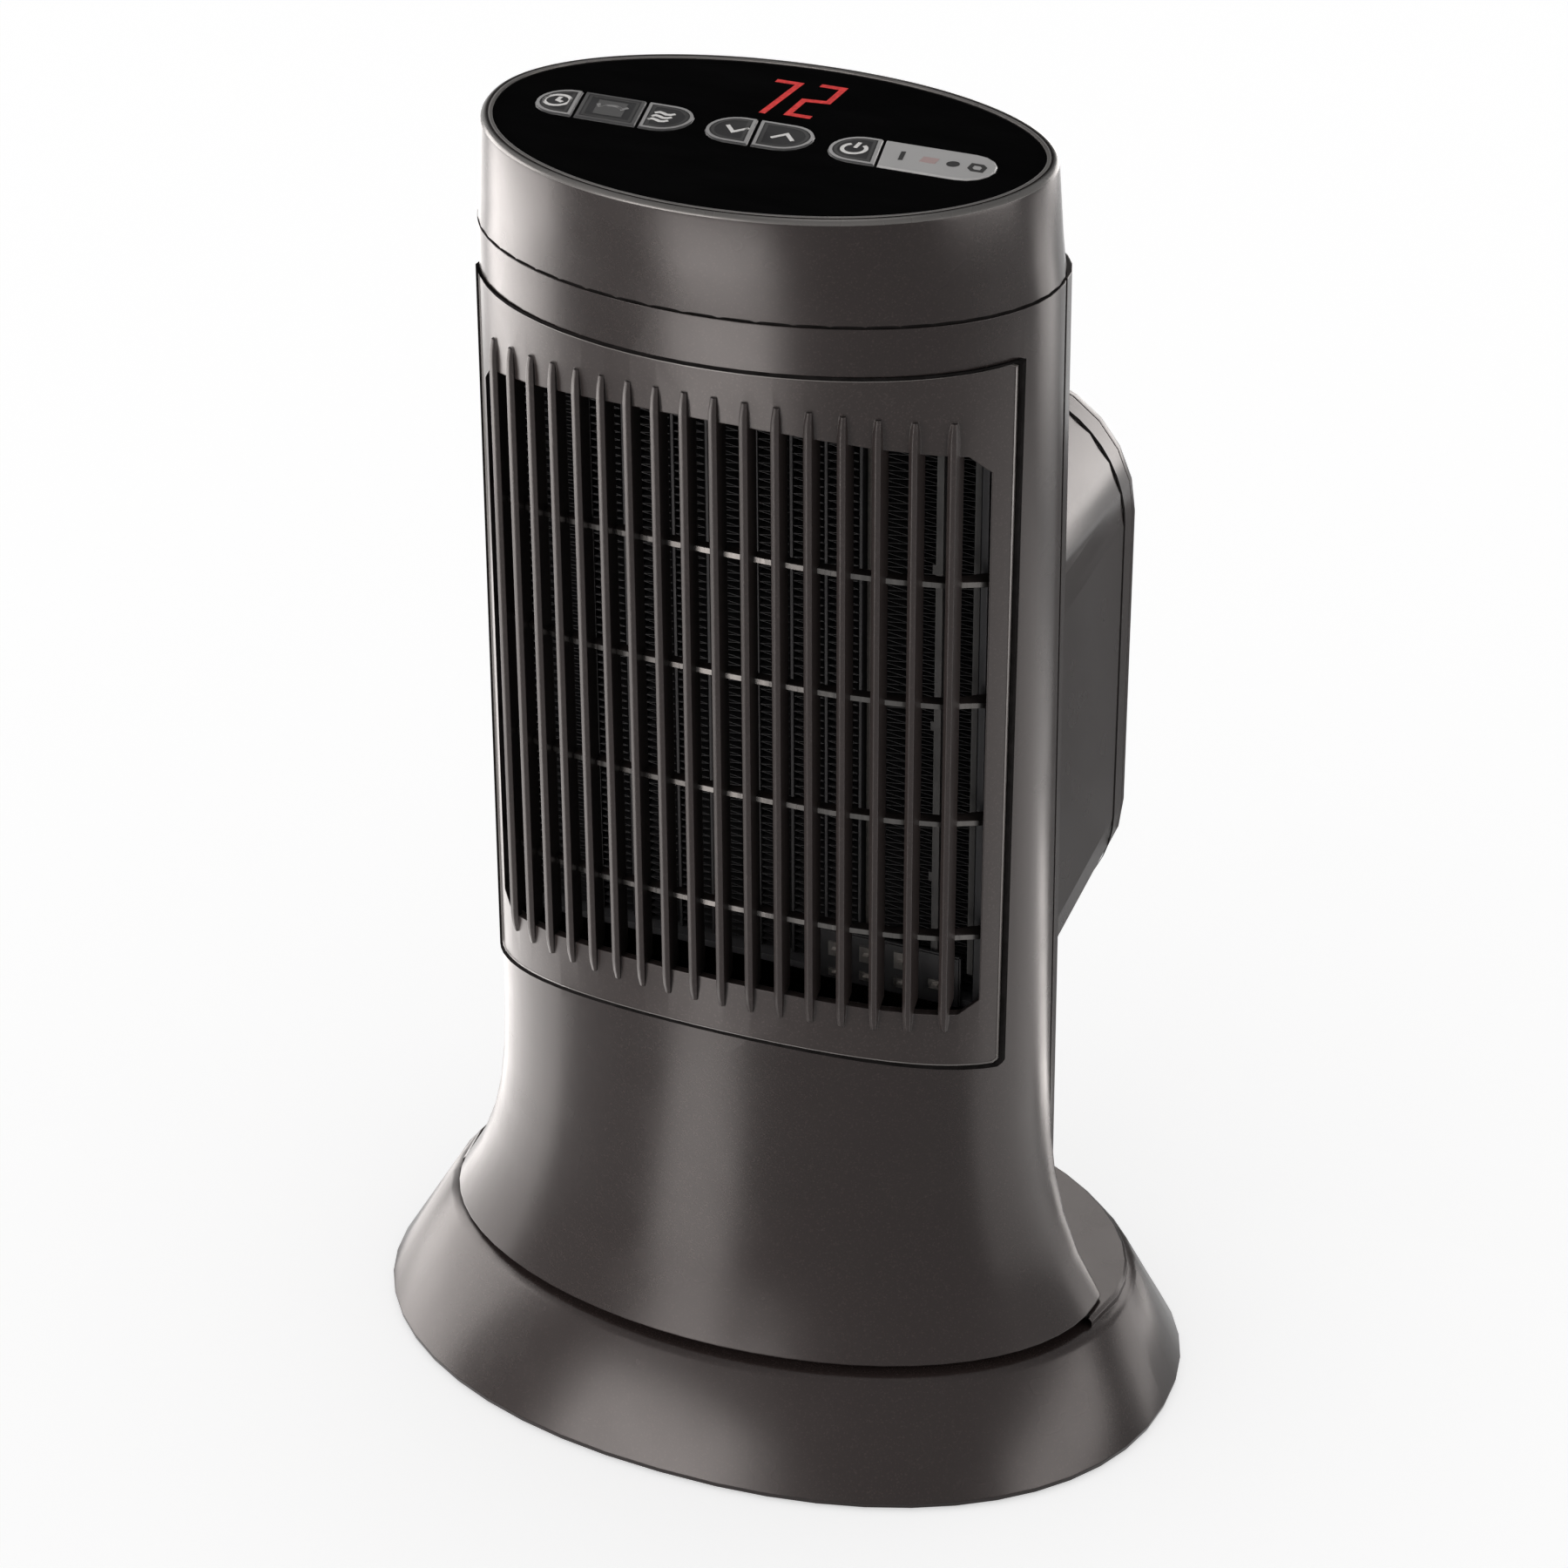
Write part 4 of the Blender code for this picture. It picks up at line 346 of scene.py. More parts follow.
def drawn_metal(name, light, dark, roughness):
    """Drawn and plated steel: streaks along the drawing and a cloudy bloom."""
    finish = Finish(name, roughness, metallic=1.0)
    streaks = finish.noise(1.0, 3.0, 0.6, finish.stretched(900.0, 900.0, 60.0))
    tone = finish.combine("MULTIPLY", streaks, finish.noise(45.0, 4.0, 0.6))
    finish.mottle(tone, 0.1, 0.45, dark, light)
    finish.drive("Roughness", finish.span(streaks, 0.3, 0.7, roughness - 0.08, roughness + 0.1))
    finish.bumps((streaks, 0.08, 0.05 * MM))
    return finish.material


def heat_fins():
    """Thin aluminium, coloured near-black, with a random mottle."""
    finish = Finish("heat_fins", 0.6, metallic=0.15, specular=0.3)
    stain = finish.noise(35.0, 4.0, 0.6)
    finish.mottle(stain, 0.3, 0.7, (0.0070, 0.0070, 0.0080), (0.0120, 0.0118, 0.0126))
    finish.drive("Roughness", finish.span(stain, 0.3, 0.7, 0.55, 0.7))
    finish.bumps((finish.noise(1200.0, 2.0), 0.1, 0.05 * MM))
    return finish.material


def ceramic():
    finish = Finish("dark_ceramic", 0.7, specular=0.3)
    grain = finish.noise(800.0, 5.0, 0.7)
    finish.mottle(grain, 0.3, 0.75, (0.02, 0.018, 0.016), (0.05, 0.045, 0.04))
    finish.bumps((grain, 0.3, 0.1 * MM))
    return finish.material


def circuit_board():
    """Green solder mask with copper tracks showing faintly."""
    finish = Finish("circuit_board", 0.42)
    layout = {"Vector": finish.place, "Scale": 160.0, "Mortar Size": 0.06, "Bias": 0.0}
    tracks = finish.add("ShaderNodeTexBrick", layout).outputs["Fac"]
    cloud = finish.span(finish.noise(40.0, 3.0), 0.3, 0.7)
    mask = finish.blend(cloud, (0.008, 0.05, 0.022), (0.014, 0.085, 0.035))
    finish.drive("Base Color", finish.blend(tracks, mask, (0.05, 0.20, 0.07)))
    finish.bumps((tracks, 0.3, 0.04 * MM))
    return finish.material


def filter_mesh():
    """Woven dust filter: two crossing sets of threads."""
    finish = Finish("filter_mesh", 0.8, specular=0.2)
    bands = []
    for direction in ("X", "Z"):
        values = {"Vector": finish.place, "Scale": 260.0, "Distortion": 0.2}
        wave = finish.add("ShaderNodeTexWave", values, wave_type="BANDS", bands_direction=direction)
        bands.append(wave.outputs["Fac"])
    weave = finish.combine("MAXIMUM", *bands)
    finish.mottle(weave, 0.3, 0.9, grey(0.004), (0.045, 0.045, 0.048))
    finish.bumps((weave, 0.6, 0.2 * MM))
    return finish.material


def print_ink(name, light, dark):
    finish = Finish(name, 0.5, specular=0.4)
    grain = finish.noise(1800.0, 3.0, 0.6)
    finish.mottle(grain, 0.3, 0.7, dark, light)
    finish.bumps((grain, 0.05, 0.02 * MM))
    return finish.material


def shadow_black():
    """Painted shade: a near-black finish for strips that stand in for the unlit inside of a gap."""
    finish = Finish("shadow_gap", 1.0, specular=0.01)
    finish.mottle(finish.noise(300.0, 2.0), 0.3, 0.7, (0.0030, 0.0028, 0.0028), (0.0055, 0.0051, 0.0051))
    return finish.material


def lit_red(name, bright, dim, strength):
    """A lit red sign: brighter in its middle, with a fine dot grain."""
    finish = Finish(name, 0.4, specular=0.3)
    glow = finish.blend(finish.span(finish.noise(700.0, 2.0), 0.3, 0.7), dim, bright)
    finish.drive("Base Color", glow)
    finish.drive("Emission Color", glow)
    finish.shader.inputs["Emission Strength"].default_value = strength
    return finish.material


SHELL = satin_paint("warm_grey_shell", (0.0115, 0.0086, 0.0082), (0.0095, 0.0071, 0.0068), 0.26)
GRILLE = satin_paint("warm_grey_grille", (0.0150, 0.0120, 0.0115), (0.0128, 0.0100, 0.0096), 0.32)
PANEL = gloss_black()
KEYS = moulded_plastic(
    "key_black", (0.026, 0.026, 0.027), (0.017, 0.017, 0.018), 0.34, grain=2200.0, depth=0.05
)
# Key rims: pale rings on the keys' edges as painted highlights, the inner one fainter
KEY_RIM_HIGHLIGHT = moulded_plastic("key_rim_highlight", grey(0.36), grey(0.22), 0.36, grain=2200.0, depth=0.04)
KEY_INNER_RIM_HIGHLIGHT = moulded_plastic("key_inner_rim_highlight", grey(0.055), grey(0.030), 0.36, grain=2200.0, depth=0.04)
KEY_FIELD = moulded_plastic("key_field", grey(0.085), grey(0.060), 0.40, grain=2200.0, depth=0.04)
SOFT_SIGNS = print_ink("soft_sign_print", grey(0.22), grey(0.17))
LENS = moulded_plastic("lens_grey", grey(0.37), grey(0.32), 0.45, grain=2600.0, depth=0.04)
INNER = moulded_plastic("inner_black", (0.040, 0.040, 0.043), (0.028, 0.028, 0.030), 0.55)
TERMINAL = moulded_plastic("terminal_black", (0.010, 0.010, 0.011), (0.006, 0.006, 0.007), 0.6)
BUS_GREY = moulded_plastic("bus_grey", (0.024, 0.023, 0.0225), (0.017, 0.0165, 0.016), 0.6)
# Painted shade, laid over seams and as a line round the rear housing
SHADOW_GAP = shadow_black()
RUBBER = rubber()
NYLON = moulded_plastic("nylon", (0.62, 0.60, 0.55), (0.54, 0.52, 0.47), 0.45)
STEEL = drawn_metal("zinc_plate", (0.55, 0.55, 0.54), (0.36, 0.36, 0.37), 0.36)
RIB_METAL = drawn_metal("rib_facing", (0.088, 0.084, 0.081), (0.066, 0.063, 0.061), 0.30)
# Painted highlights on the cap's rim: a pale bead and a lighter facing on the lip
BEAD_HIGHLIGHT = moulded_plastic(
    "panel_bead_highlight", (0.170, 0.163, 0.158), (0.135, 0.130, 0.126), 0.30, grain=2200.0, depth=0.03, metallic=0.35
)
LIP_HIGHLIGHT = moulded_plastic(
    "lip_highlight_facing", (0.066, 0.063, 0.061), (0.052, 0.050, 0.048), 0.28, grain=2200.0, depth=0.03, metallic=0.3
)
DULL_METAL = drawn_metal("dull_metal", (0.30, 0.29, 0.28), (0.20, 0.19, 0.18), 0.45)
# A painted highlight along the outlet frame's edge
FRAME_EDGE_HIGHLIGHT = moulded_plastic("frame_edge_highlight", (0.060, 0.056, 0.054), (0.048, 0.045, 0.043), 0.34)
FINS = heat_fins()
CERAMIC = ceramic()
BOARD = circuit_board()
FILTER = filter_mesh()
SIGNS = print_ink("sign_print", (0.70, 0.70, 0.69), (0.58, 0.58, 0.57))
DARK_SIGNS = print_ink("dark_sign_print", grey(0.016), grey(0.010))
DIGITS = lit_red("display_red", (0.42, 0.026, 0.024), (0.26, 0.013, 0.013), 0.72)
LAMP_FIELD = lit_red("indicator_glow", (0.36, 0.255, 0.25), (0.33, 0.255, 0.25), 0.03)
SLOT_FINISH = {
    "shell": SHELL,
    "grille": GRILLE,
    "panel": PANEL,
    "keys": KEYS,
    "lens": LENS,
    "inner_black": INNER,
    "rubber": RUBBER,
    "nylon": NYLON,
    "steel": STEEL,
    "fins": FINS,
    "ceramic": CERAMIC,
    "board": BOARD,
    "filter": FILTER,
}


def smoothing():
    """A node group that joins a CAD mesh's loose facets and shades them smooth up to a sharp angle."""
    group = bpy.data.node_groups.new("smooth_facets", "GeometryNodeTree")
    for direction in ("INPUT", "OUTPUT"):
        group.interface.new_socket("Geometry", in_out=direction, socket_type="NodeSocketGeometry")
    nodes = Nodes(group)
    geometry = nodes.add("NodeGroupInput").outputs[0]
    inputs = {"Geometry": geometry, "Distance": MERGE_DISTANCE}
    geometry = nodes.add("GeometryNodeMergeByDistance", inputs).outputs["Geometry"]
    inputs = {"Geometry": geometry, "Name": "custom_normal"}
    geometry = nodes.add("GeometryNodeRemoveAttribute", inputs).outputs["Geometry"]
    inputs = {"Geometry": geometry}
    geometry = nodes.add("GeometryNodeSetShadeSmooth", inputs, domain="FACE").outputs["Geometry"]
    angle = nodes.add("GeometryNodeInputMeshEdgeAngle").outputs["Unsigned Angle"]
    soft = nodes.add("FunctionNodeCompare", data_type="FLOAT", operation="LESS_THAN")
    soft.inputs[1].default_value = SHARP_ANGLE
    nodes.link(angle, soft.inputs[0])
    inputs = {"Geometry": geometry, "Shade Smooth": soft.outputs["Result"]}
    geometry = nodes.add("GeometryNodeSetShadeSmooth", inputs, domain="EDGE").outputs["Geometry"]
    nodes.link(geometry, nodes.add("NodeGroupOutput").inputs[0])
    return group


def dress_frame():
    """Gives each CAD node the finish of its slot, shades it smooth and eases its sharp edges."""
    group = smoothing()
    for entry in frame["record"]["subparts"]:
        name, slot = entry["node"], entry["material_slot"]
        node = frame["nodes"][name]
        node.data.materials.clear()
        node.data.materials.append(SLOT_FINISH[slot])
        node.modifiers.new("smooth", "NODES").node_group = group
        if slot in EASED_WIDTH and name not in NOT_EASED:
            bevel = node.modifiers.new("ease", "BEVEL")
            bevel.width = EASED_WIDTH[slot]
            bevel.segments = 2
            bevel.limit_method = "ANGLE"
            bevel.angle_limit = EASED_ANGLE
            bevel.use_clamp_overlap = True
            bevel.harden_normals = True


def add_object(name, mesh, material):
    """Turns a bmesh into an object of the scene."""
    data = bpy.data.meshes.new(name)
    mesh.to_mesh(data)
    mesh.free()
    data.materials.append(material)
    item = bpy.data.objects.new(name, data)
    bpy.context.scene.collection.objects.link(item)
    return item


def add_piece(name, mesh, material, body, smooth=None):
    """Turns a bmesh into a piece that rides on a body. smooth is the angle up to which edges are soft."""
    bmesh.ops.recalc_face_normals(mesh, faces=mesh.faces)
    item = add_object(name, mesh, material)
    if smooth:
        item.data.shade_smooth()
        item.data.set_sharp_from_angle(angle=math.radians(smooth))
    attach(item, body)
    return item


def skin(mesh, rings, loop=False, caps=False):
    """Joins rings of points by faces. A loop also joins the last to the first, and caps close the ends."""
    for first, second in zip(rings, rings[1:] + (rings[:1] if loop else [])):
        for i in range(len(first)):
            j = (i + 1) % len(first)
            mesh.faces.new((first[i], first[j], second[j], second[i]))
    if caps:
        mesh.faces.new(rings[0])
        mesh.faces.new(rings[-1])


def slab(mesh, low, high):
    """Adds a closed box to a mesh."""
    rings = []
    for z in (low[2], high[2]):
        corners = ((low[0], low[1]), (high[0], low[1]), (high[0], high[1]), (low[0], high[1]))
        rings.append([mesh.verts.new((x, y, z)) for x, y in corners])
    skin(mesh, rings, caps=True)


def arc(centre, radius, start, end, steps=14):
    """Points along an arc, in degrees."""
    turns = [math.radians(start + (end - start) * i / steps) for i in range(steps + 1)]
    return [(centre[0] + radius * math.cos(t), centre[1] + radius * math.sin(t)) for t in turns]


def rounded(low_x, high_x, low_z, high_z, radius, steps=8):
    """The outline of a rectangle with round corners, anticlockwise."""
    points = []
    for x, z, start in (
        (high_x - radius, low_z + radius, -90),
        (high_x - radius, high_z - radius, 0),
        (low_x + radius, high_z - radius, 90),
        (low_x + radius, low_z + radius, 180),
    ):
        points += arc((x, z), radius, start, start + 90, steps)
    return points


# Signs on the panel
def on_panel(x, y, height):
    """A point of the leaning panel, from its place in the row frame seen from above."""
    tilt = Matrix.Translation((0, TOWER_Y, TOP_HEIGHT)) @ Matrix.Rotation(PANEL_LEAN, 4, "X")
    return tilt @ Vector((x, y - TOWER_Y, height))


def stroke_mesh(name, strokes, width, height, material, body):
    """Flat ribbons of even width along lists of (x, y) points on the panel, as one thin mesh."""
    mesh = bmesh.new()
    for points in strokes:
        points = [Vector(p) for p in points]
        loop = (points[0] - points[-1]).length < SAME_PLACE
        if loop:
            points = points[:-1]
        count = len(points)
        rows = []
        for i, point in enumerate(points):
            before = points[i - 1] if (i or loop) else point
            after = points[(i + 1) % count] if (i < count - 1 or loop) else point
            into = (point - before).normalized() if before != point else None
            out = (after - point).normalized() if after != point else None
            into, out = into or out, out or into
            middle = (into + out).normalized()
            normal = Vector((-middle.y, middle.x))
            stretch = 1 / max(normal.dot(Vector((-into.y, into.x))), 1 / MITRE_LIMIT)
            reach = normal * (width / 2) * stretch
            left, right = point + reach, point - reach
            low = [mesh.verts.new(on_panel(*p, height)) for p in (left, right)]
            high = [mesh.verts.new(on_panel(*p, height + SIGN_THICKNESS)) for p in (right, left)]
            rows.append(low + high)
        skin(mesh, rows, loop=loop, caps=not loop)
    return add_piece(name, mesh, material, body)


def patch_mesh(name, outline, height, material, body):
    """A thin flat patch on the panel."""
    mesh = bmesh.new()
    lifts = (height, height + SIGN_THICKNESS)
    skin(mesh, [[mesh.verts.new(on_panel(*p, lift)) for p in outline] for lift in lifts], caps=True)
    return add_piece(name, mesh, material, body)


def outline_of(name, inset, round_left, round_right):
    """The outline of a key's face, set in by a margin. Where keys meet, their edges lean."""
    low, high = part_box(name)
    full = (high.y - low.y) / 2 - KEY_TAB
    lean = KEY_LEAN * full
    left = low.x + inset + (0 if round_left else lean)
    right = high.x - inset - (0 if round_right else lean)
    middle = (low.y + high.y) / 2
    radius = full - inset
    shift = KEY_LEAN * radius
    points = []
    if round_right:
        points += arc((right - radius, middle), radius, -90, 90)
    else:
        points += [(right + shift, middle - radius), (right - shift, middle + radius)]
    if round_left:
        points += arc((left + radius, middle), radius, 90, 270)
    else:
        points += [(left - shift, middle + radius), (left + shift, middle - radius)]
    return points + points[:1]


# Each key's sign: how far it lies right of the key's middle, and its strokes, in mm
KEY_SIGNS = {
    "key_timer": (-1.1, [arc((0, 0), 3.7, 0, 360, 28), [(0, 2.4), (0, 0), (1.8, -0.8)]]),
    "key_swing": (0.0, [
        arc((0, -2.6), 4.4, 40, 140),
        [(-4.6, 1.9), (-3.4, 0.3), (-1.8, 1.6)],
        [(4.6, 1.9), (3.4, 0.3), (1.8, 1.6)],
    ]),
    "key_heat": (-0.9, [[(x, y + lift) for x, y in HEAT_WAVE] for lift in (-1.8, 0.6, 3.0)]),
    "key_down": (0.7, [[(-3.2, 1.7), (0, -2.1), (3.2, 1.7)]]),
    "key_up": (1.1, [[(-3.2, -1.9), (0, 1.9), (3.2, -1.9)]]),
    "key_power": (-1.0, [arc((0, -0.3), 3.3, 125, 415, 22), [(0, 4.0), (0, 0.3)]]),
}


def make_key_signs():
    """A painted highlight rim on each key with a fainter painted highlight rim inside it, and its sign:
    generic marks for timer, swing, heat, down, up and power.
    """
    middles = {}
    for name, ends in KEY_ENDS.items():
        low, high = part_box(name)
        middles[name] = ((low.x + high.x) / 2, (low.y + high.y) / 2)
        # The swing key's rim takes its grey field; every other key's rim is a painted highlight
        rim_highlight_or_field = KEY_FIELD if name == "key_swing" else KEY_RIM_HIGHLIGHT
        for part, inset, material in (("rim", RIM_INSET, rim_highlight_or_field), ("inner_rim", INNER_RIM_INSET, KEY_INNER_RIM_HIGHLIGHT)):
            ring = outline_of(name, inset, *ends)
            stroke_mesh(f"{name}_{part}", [ring], RIM_WIDTH, KEY_TOP, material, f"{name}_body")
    x, y = middles["key_swing"]
    field = [(x + (across - up * 2 * KEY_LEAN) * MM, y + up * MM) for across, up in SWING_FIELD]
    patch_mesh("key_swing_field", field, KEY_TOP, KEY_FIELD, "key_swing_body")
    for name, (shift, strokes) in KEY_SIGNS.items():
        x, y = middles[name]
        placed = [[(x + (shift + across) * MM, y + up * MM) for across, up in stroke] for stroke in strokes]
        ink, height = SIGNS, KEY_TOP
        if name == "key_swing":
            ink, height = SOFT_SIGNS, KEY_TOP + SIGN_THICKNESS
        stroke_mesh(f"{name}_sign", placed, SIGN_WIDTH, height, ink, f"{name}_body")


def make_display():
    """The lit temperature: two slanted digits, each drawn in one stroke."""
    for name, digit, (left, foot), (wide, tall), slant in (
        ("display_tens", SEVEN, (-13.4, 5.4), (7.2, 22.8), 1.4),
        ("display_units", TWO, (0.8, 7.4), (7.0, 22.0), 0.3),
    ):
        stroke = [((left + u * wide + v * slant) * MM, (foot + v * tall) * MM) for u, v in digit]
        stroke_mesh(name, [stroke], DIGIT_WIDTH, -PANEL_DROP, DIGITS, "tower")


def make_lens_marks():
    """Plain marks on the indicator strip: a bar, a lit red field, a dot and a small frame."""
    frame_x, small, cut = 63.4, 1.9, 0.7
    square = [(frame_x - small, -cut), (frame_x - cut, -small), (frame_x + small, -small)]
    square += [(frame_x + small, cut), (frame_x + cut, small), (frame_x - small, small)]
    for name, stroke, width, ink in (
        ("lens_bar_mark", [(42.1, -2.8), (40.9, 2.8)], LENS_MARK_WIDTH, DARK_SIGNS),
        ("lens_lamp", [(47.2, 0), (51.8, 0)], 3.6 * MM, LAMP_FIELD),
        ("lens_dot_mark", arc((56.4, 0), 0.95, 0, 360, 16), 1.8 * MM, DARK_SIGNS),
        ("lens_square_mark", square + square[:1], LENS_MARK_WIDTH, DARK_SIGNS),
    ):
        placed = [(x * MM, LENS_MARK_Y + y * MM) for x, y in stroke]
        stroke_mesh(name, [placed], width, KEY_TOP, ink, "tower")


# Trim and seams, with painted highlights and painted shade
def cap_oval(half, front, rear):
    """Points round the cap, from the tower's middle: its front and rear halves differ in depth."""
    points = []
    for i in range(OVAL_STEPS):
        turn = 2 * math.pi * i / OVAL_STEPS
        depth = front if math.sin(turn) < 0 else rear
        points.append((half * math.cos(turn), depth * math.sin(turn)))
    return points


def lip_ring(mesh, share, inset, height):
    """One ring of points over the cap's lip, held below the lip's highest point."""
    half = CAP_HALF_WIDTH - share * LIP_SIDE_DRAW - inset
    front = CAP_FRONT + share * LIP_FRONT_GROWTH - inset
    rear = CAP_REAR - share * LIP_REAR_DRAW - inset
    ring = []
    for x, y in cap_oval(half, front, rear):
        room = (LIP_REAR - y) * math.tan(PANEL_LEAN)
        ring.append(mesh.verts.new(on_panel(x, TOWER_Y + y, min(height, room))))
    return ring


def make_lip_highlights():
    """A fine bead between panel and lip and a facing round the lip's outer edge, both lighter than the cap as
    painted highlights.
    """
    for name, profile, material in (("panel_bead", BEAD_PROFILE, BEAD_HIGHLIGHT), ("lip_highlight_facing", LIP_PROFILE, LIP_HIGHLIGHT)):
        mesh = bmesh.new()
        rings = [lip_ring(mesh, share, inset * MM, lift * MM) for share, inset, lift in profile]
        skin(mesh, rings, loop=True)
        add_piece(name, mesh, material, "tower", smooth=50)


def surface_of(*names):
    """The surface of CAD nodes, to find points on it."""
    mesh = bmesh.new()
    for name in names:
        node = frame["nodes"][name]
        part = node.data.copy()
        part.transform(node.matrix_world)
        mesh.from_mesh(part)
        bpy.data.meshes.remove(part)
    tree = BVHTree.FromBMesh(mesh)
    mesh.free()
    return tree


def seen_from_front(surface, x, z):
    """The first point of a surface behind a place in front of the heater, or None."""
    return surface.ray_cast(Vector((x, FAR_AHEAD, z)), Vector((0, 1, 0)))[0]


def frame_path(side, foot_edge, top_edge):
    """A closed path of (x, z) points along the outlet's frame: its arched foot, right, top and left side."""
    drop = ARCH_DROP * (side / ARCH_WIDTH) ** 2
    rise = top_edge - foot_edge + drop - 2 * SEAM_CORNER
    across = [2 * i / SEAM_STEPS - 1 for i in range(SEAM_STEPS + 1)]
    up = [i / (2 * SEAM_STEPS - 1) for i in range(2 * SEAM_STEPS)]
    level = [(side - SEAM_CORNER) * share for share in across]
    points = [(x, foot_edge - ARCH_DROP * (x / ARCH_WIDTH) ** 2) for x in level]
    points += [(side, foot_edge - drop + SEAM_CORNER + rise * share) for share in up]
    points += [(-x, top_edge) for x in level]
    points += [(-side, top_edge - SEAM_CORNER - rise * share) for share in up]
    return points


def ribbon(name, rows, material):
    """A thin closed band along rows of four points: its two edges on the surface and the same two raised."""
    mesh = bmesh.new()
    skin(mesh, [[mesh.verts.new(p) for p in row] for row in rows], loop=True)
    return add_piece(name, mesh, material, "tower", smooth=50)


def make_frame_seams():
    """Painted shade over the gap round the outlet's frame, and a painted highlight along the edge inside it.
    """
    surface = surface_of("front_shell", "outlet_grille")
    _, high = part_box("outlet_grille")

    def on_front(x, z, lift):
        hit = seen_from_front(surface, x, z)
        return Vector((x, (hit.y if hit else TOWER_Y) - lift, z))

    for name, in_side, out_side, in_level, out_level, material in (
        ("frame_shadow", -0.45, 0.75, 0.35, -0.75, SHADOW_GAP),
        ("frame_edge_highlight", -0.90, -0.47, 0.62, 0.37, FRAME_EDGE_HIGHLIGHT),
    ):
        inner, outer = (
            frame_path(high.x + side * MM, FRAME_FOOT + level * MM, high.z - level * MM)
            for side, level in ((in_side, in_level), (out_side, out_level))
        )
        rows = []
        for p, q in zip(inner, outer):
            near, far = on_front(*p, SEAM_LIFT), on_front(*q, SEAM_LIFT)
            near.y = far.y = min(near.y, far.y)
            rows.append((on_front(*p, -SEAM_SINK), on_front(*q, -SEAM_SINK), far, near))
        ribbon(name, rows, material)


def make_shell_seams():
    """Painted shade: a dark strip over the gap under the cap, and a dark line round the rear housing that
    stands in for a groove.
    """
    rings = []
    for z, out in CAP_SEAM_PROFILE:
        oval = cap_oval(CAP_HALF_WIDTH + out * MM, CAP_FRONT + out * MM, CAP_REAR + out * MM)
        rings.append([Vector((x, TOWER_Y + y, z * MM)) for x, y in oval])
    ribbon("cap_shadow", list(zip(*rings)), SHADOW_GAP)

    low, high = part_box("rear_cover")
    foot, top = low.z - HOUSING_SHADE_MARGIN, high.z + HOUSING_SHADE_MARGIN
    outline = rounded(-HOUSING_SHADE_HALF_WIDTH, HOUSING_SHADE_HALF_WIDTH, foot, top, HOUSING_CORNER, 12)
    rows = []
    for i, (x, z) in enumerate(outline):
        ahead, behind = outline[(i + 1) % len(outline)], outline[i - 1]
        along = Vector((ahead[0] - behind[0], ahead[1] - behind[1])).normalized()
        out = Vector((along.y, -along.x))
        row = [Vector((x + out.x * rise * MM, y * MM, z + out.y * rise * MM)) for y, rise in HOUSING_SHADE_PROFILE]
        rows.append(row)
    ribbon("housing_shade_line", rows, SHADOW_GAP)


def rib_spans(surface, x):
    """Where the grille's level ribs stand at one place across, as (depth, height) of their middles."""
    spans, run = [], []
    z = RIB_ZONE[0]
    while z < RIB_ZONE[1]:
        hit = seen_from_front(surface, x, z)
        if hit is not None and hit.y < RIB_REAR_LIMIT:
            run.append(hit)
        elif run:
            spans.append((min(p.y for p in run), sum(p.z for p in run) / len(run)))
            run = []
        z += RIB_SCAN
    return spans


def make_rib_facings():
    """A thin bright facing on each level rib, in the gaps between the upright blades."""
    surface = surface_of("outlet_grille")
    mesh = bmesh.new()
    for gap in range(-9, 9):
        left = max(gap * BLADE_PITCH + BLADE_HALF_WIDTH, -RIB_HALF_WIDTH)
        right = min((gap + 1) * BLADE_PITCH - BLADE_HALF_WIDTH, RIB_HALF_WIDTH)
        stops = [left + (right - left) * share for share in (0.04, 0.5, 0.96)]
        found = [rib_spans(surface, x) for x in stops]
        for index in range(min(len(spans) for spans in found)):
            rings = []
            for x, spans in zip((left, stops[1], right), found):
                y, z = spans[index]
                ahead, low, high = y - FACING_THICKNESS, z - FACING_HALF_HEIGHT, z + FACING_HALF_HEIGHT
                corners = ((ahead, low), (ahead, high), (y, high), (y, low))
                rings.append([mesh.verts.new((x, *corner)) for corner in corners])
            skin(mesh, rings, caps=True)
    add_piece("rib_facings", mesh, RIB_METAL, "tower")


# Heater core, filter and fixings
def make_pleats():
    """Folded heating strips between thin plates, in place of each pack's plain comb."""
    for index in range(4):
        name = f"fin_pack_{index + 1}"
        low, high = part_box(name)
        mesh = bmesh.new()
        step = (high.x - low.x - PLEAT_PLATE) / PLEAT_COLUMNS
        for column in range(PLEAT_COLUMNS + 1):
            x = low.x + column * step
            slab(mesh, (x, low.y, low.z), (x + PLEAT_PLATE, high.y, high.z))
        folds = int((high.z - low.z) / (PLEAT_PITCH / 2))
        rise = (high.z - low.z - PLEAT_SHEET) / folds
        for column in range(PLEAT_COLUMNS):
            left, right = low.x + column * step + PLEAT_PLATE, low.x + (column + 1) * step
            rings = []
            for i in range(folds + 1):
                x = right - PLEAT_SHEET if i % 2 else left + PLEAT_SHEET
                foot = low.z + i * rise
                top = foot + PLEAT_SHEET
                corners = ((low.y, foot), (low.y, top), (high.y, top), (high.y, foot))
                rings.append([mesh.verts.new((x, *corner)) for corner in corners])
            skin(mesh, rings, caps=True)
        item = add_piece(f"{name}_pleats", mesh, FINS, "tower")
        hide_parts(name)


def make_filter_weave():
    """The fine mesh that is moulded into the dust filter's frame."""
    low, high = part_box("dust_filter")
    inset = FILTER_INSET
    outline = rounded(low.x + inset, high.x - inset, low.z + inset, high.z - inset, FILTER_CORNER)
    middle = (low.y + high.y) / 2
    mesh = bmesh.new()
    faces = (middle - FILTER_HALF_THICKNESS, middle + FILTER_HALF_THICKNESS)
    skin(mesh, [[mesh.verts.new((x, y, z)) for x, z in outline] for y in faces], caps=True)
    add_piece("filter_weave", mesh, FILTER, "cover")


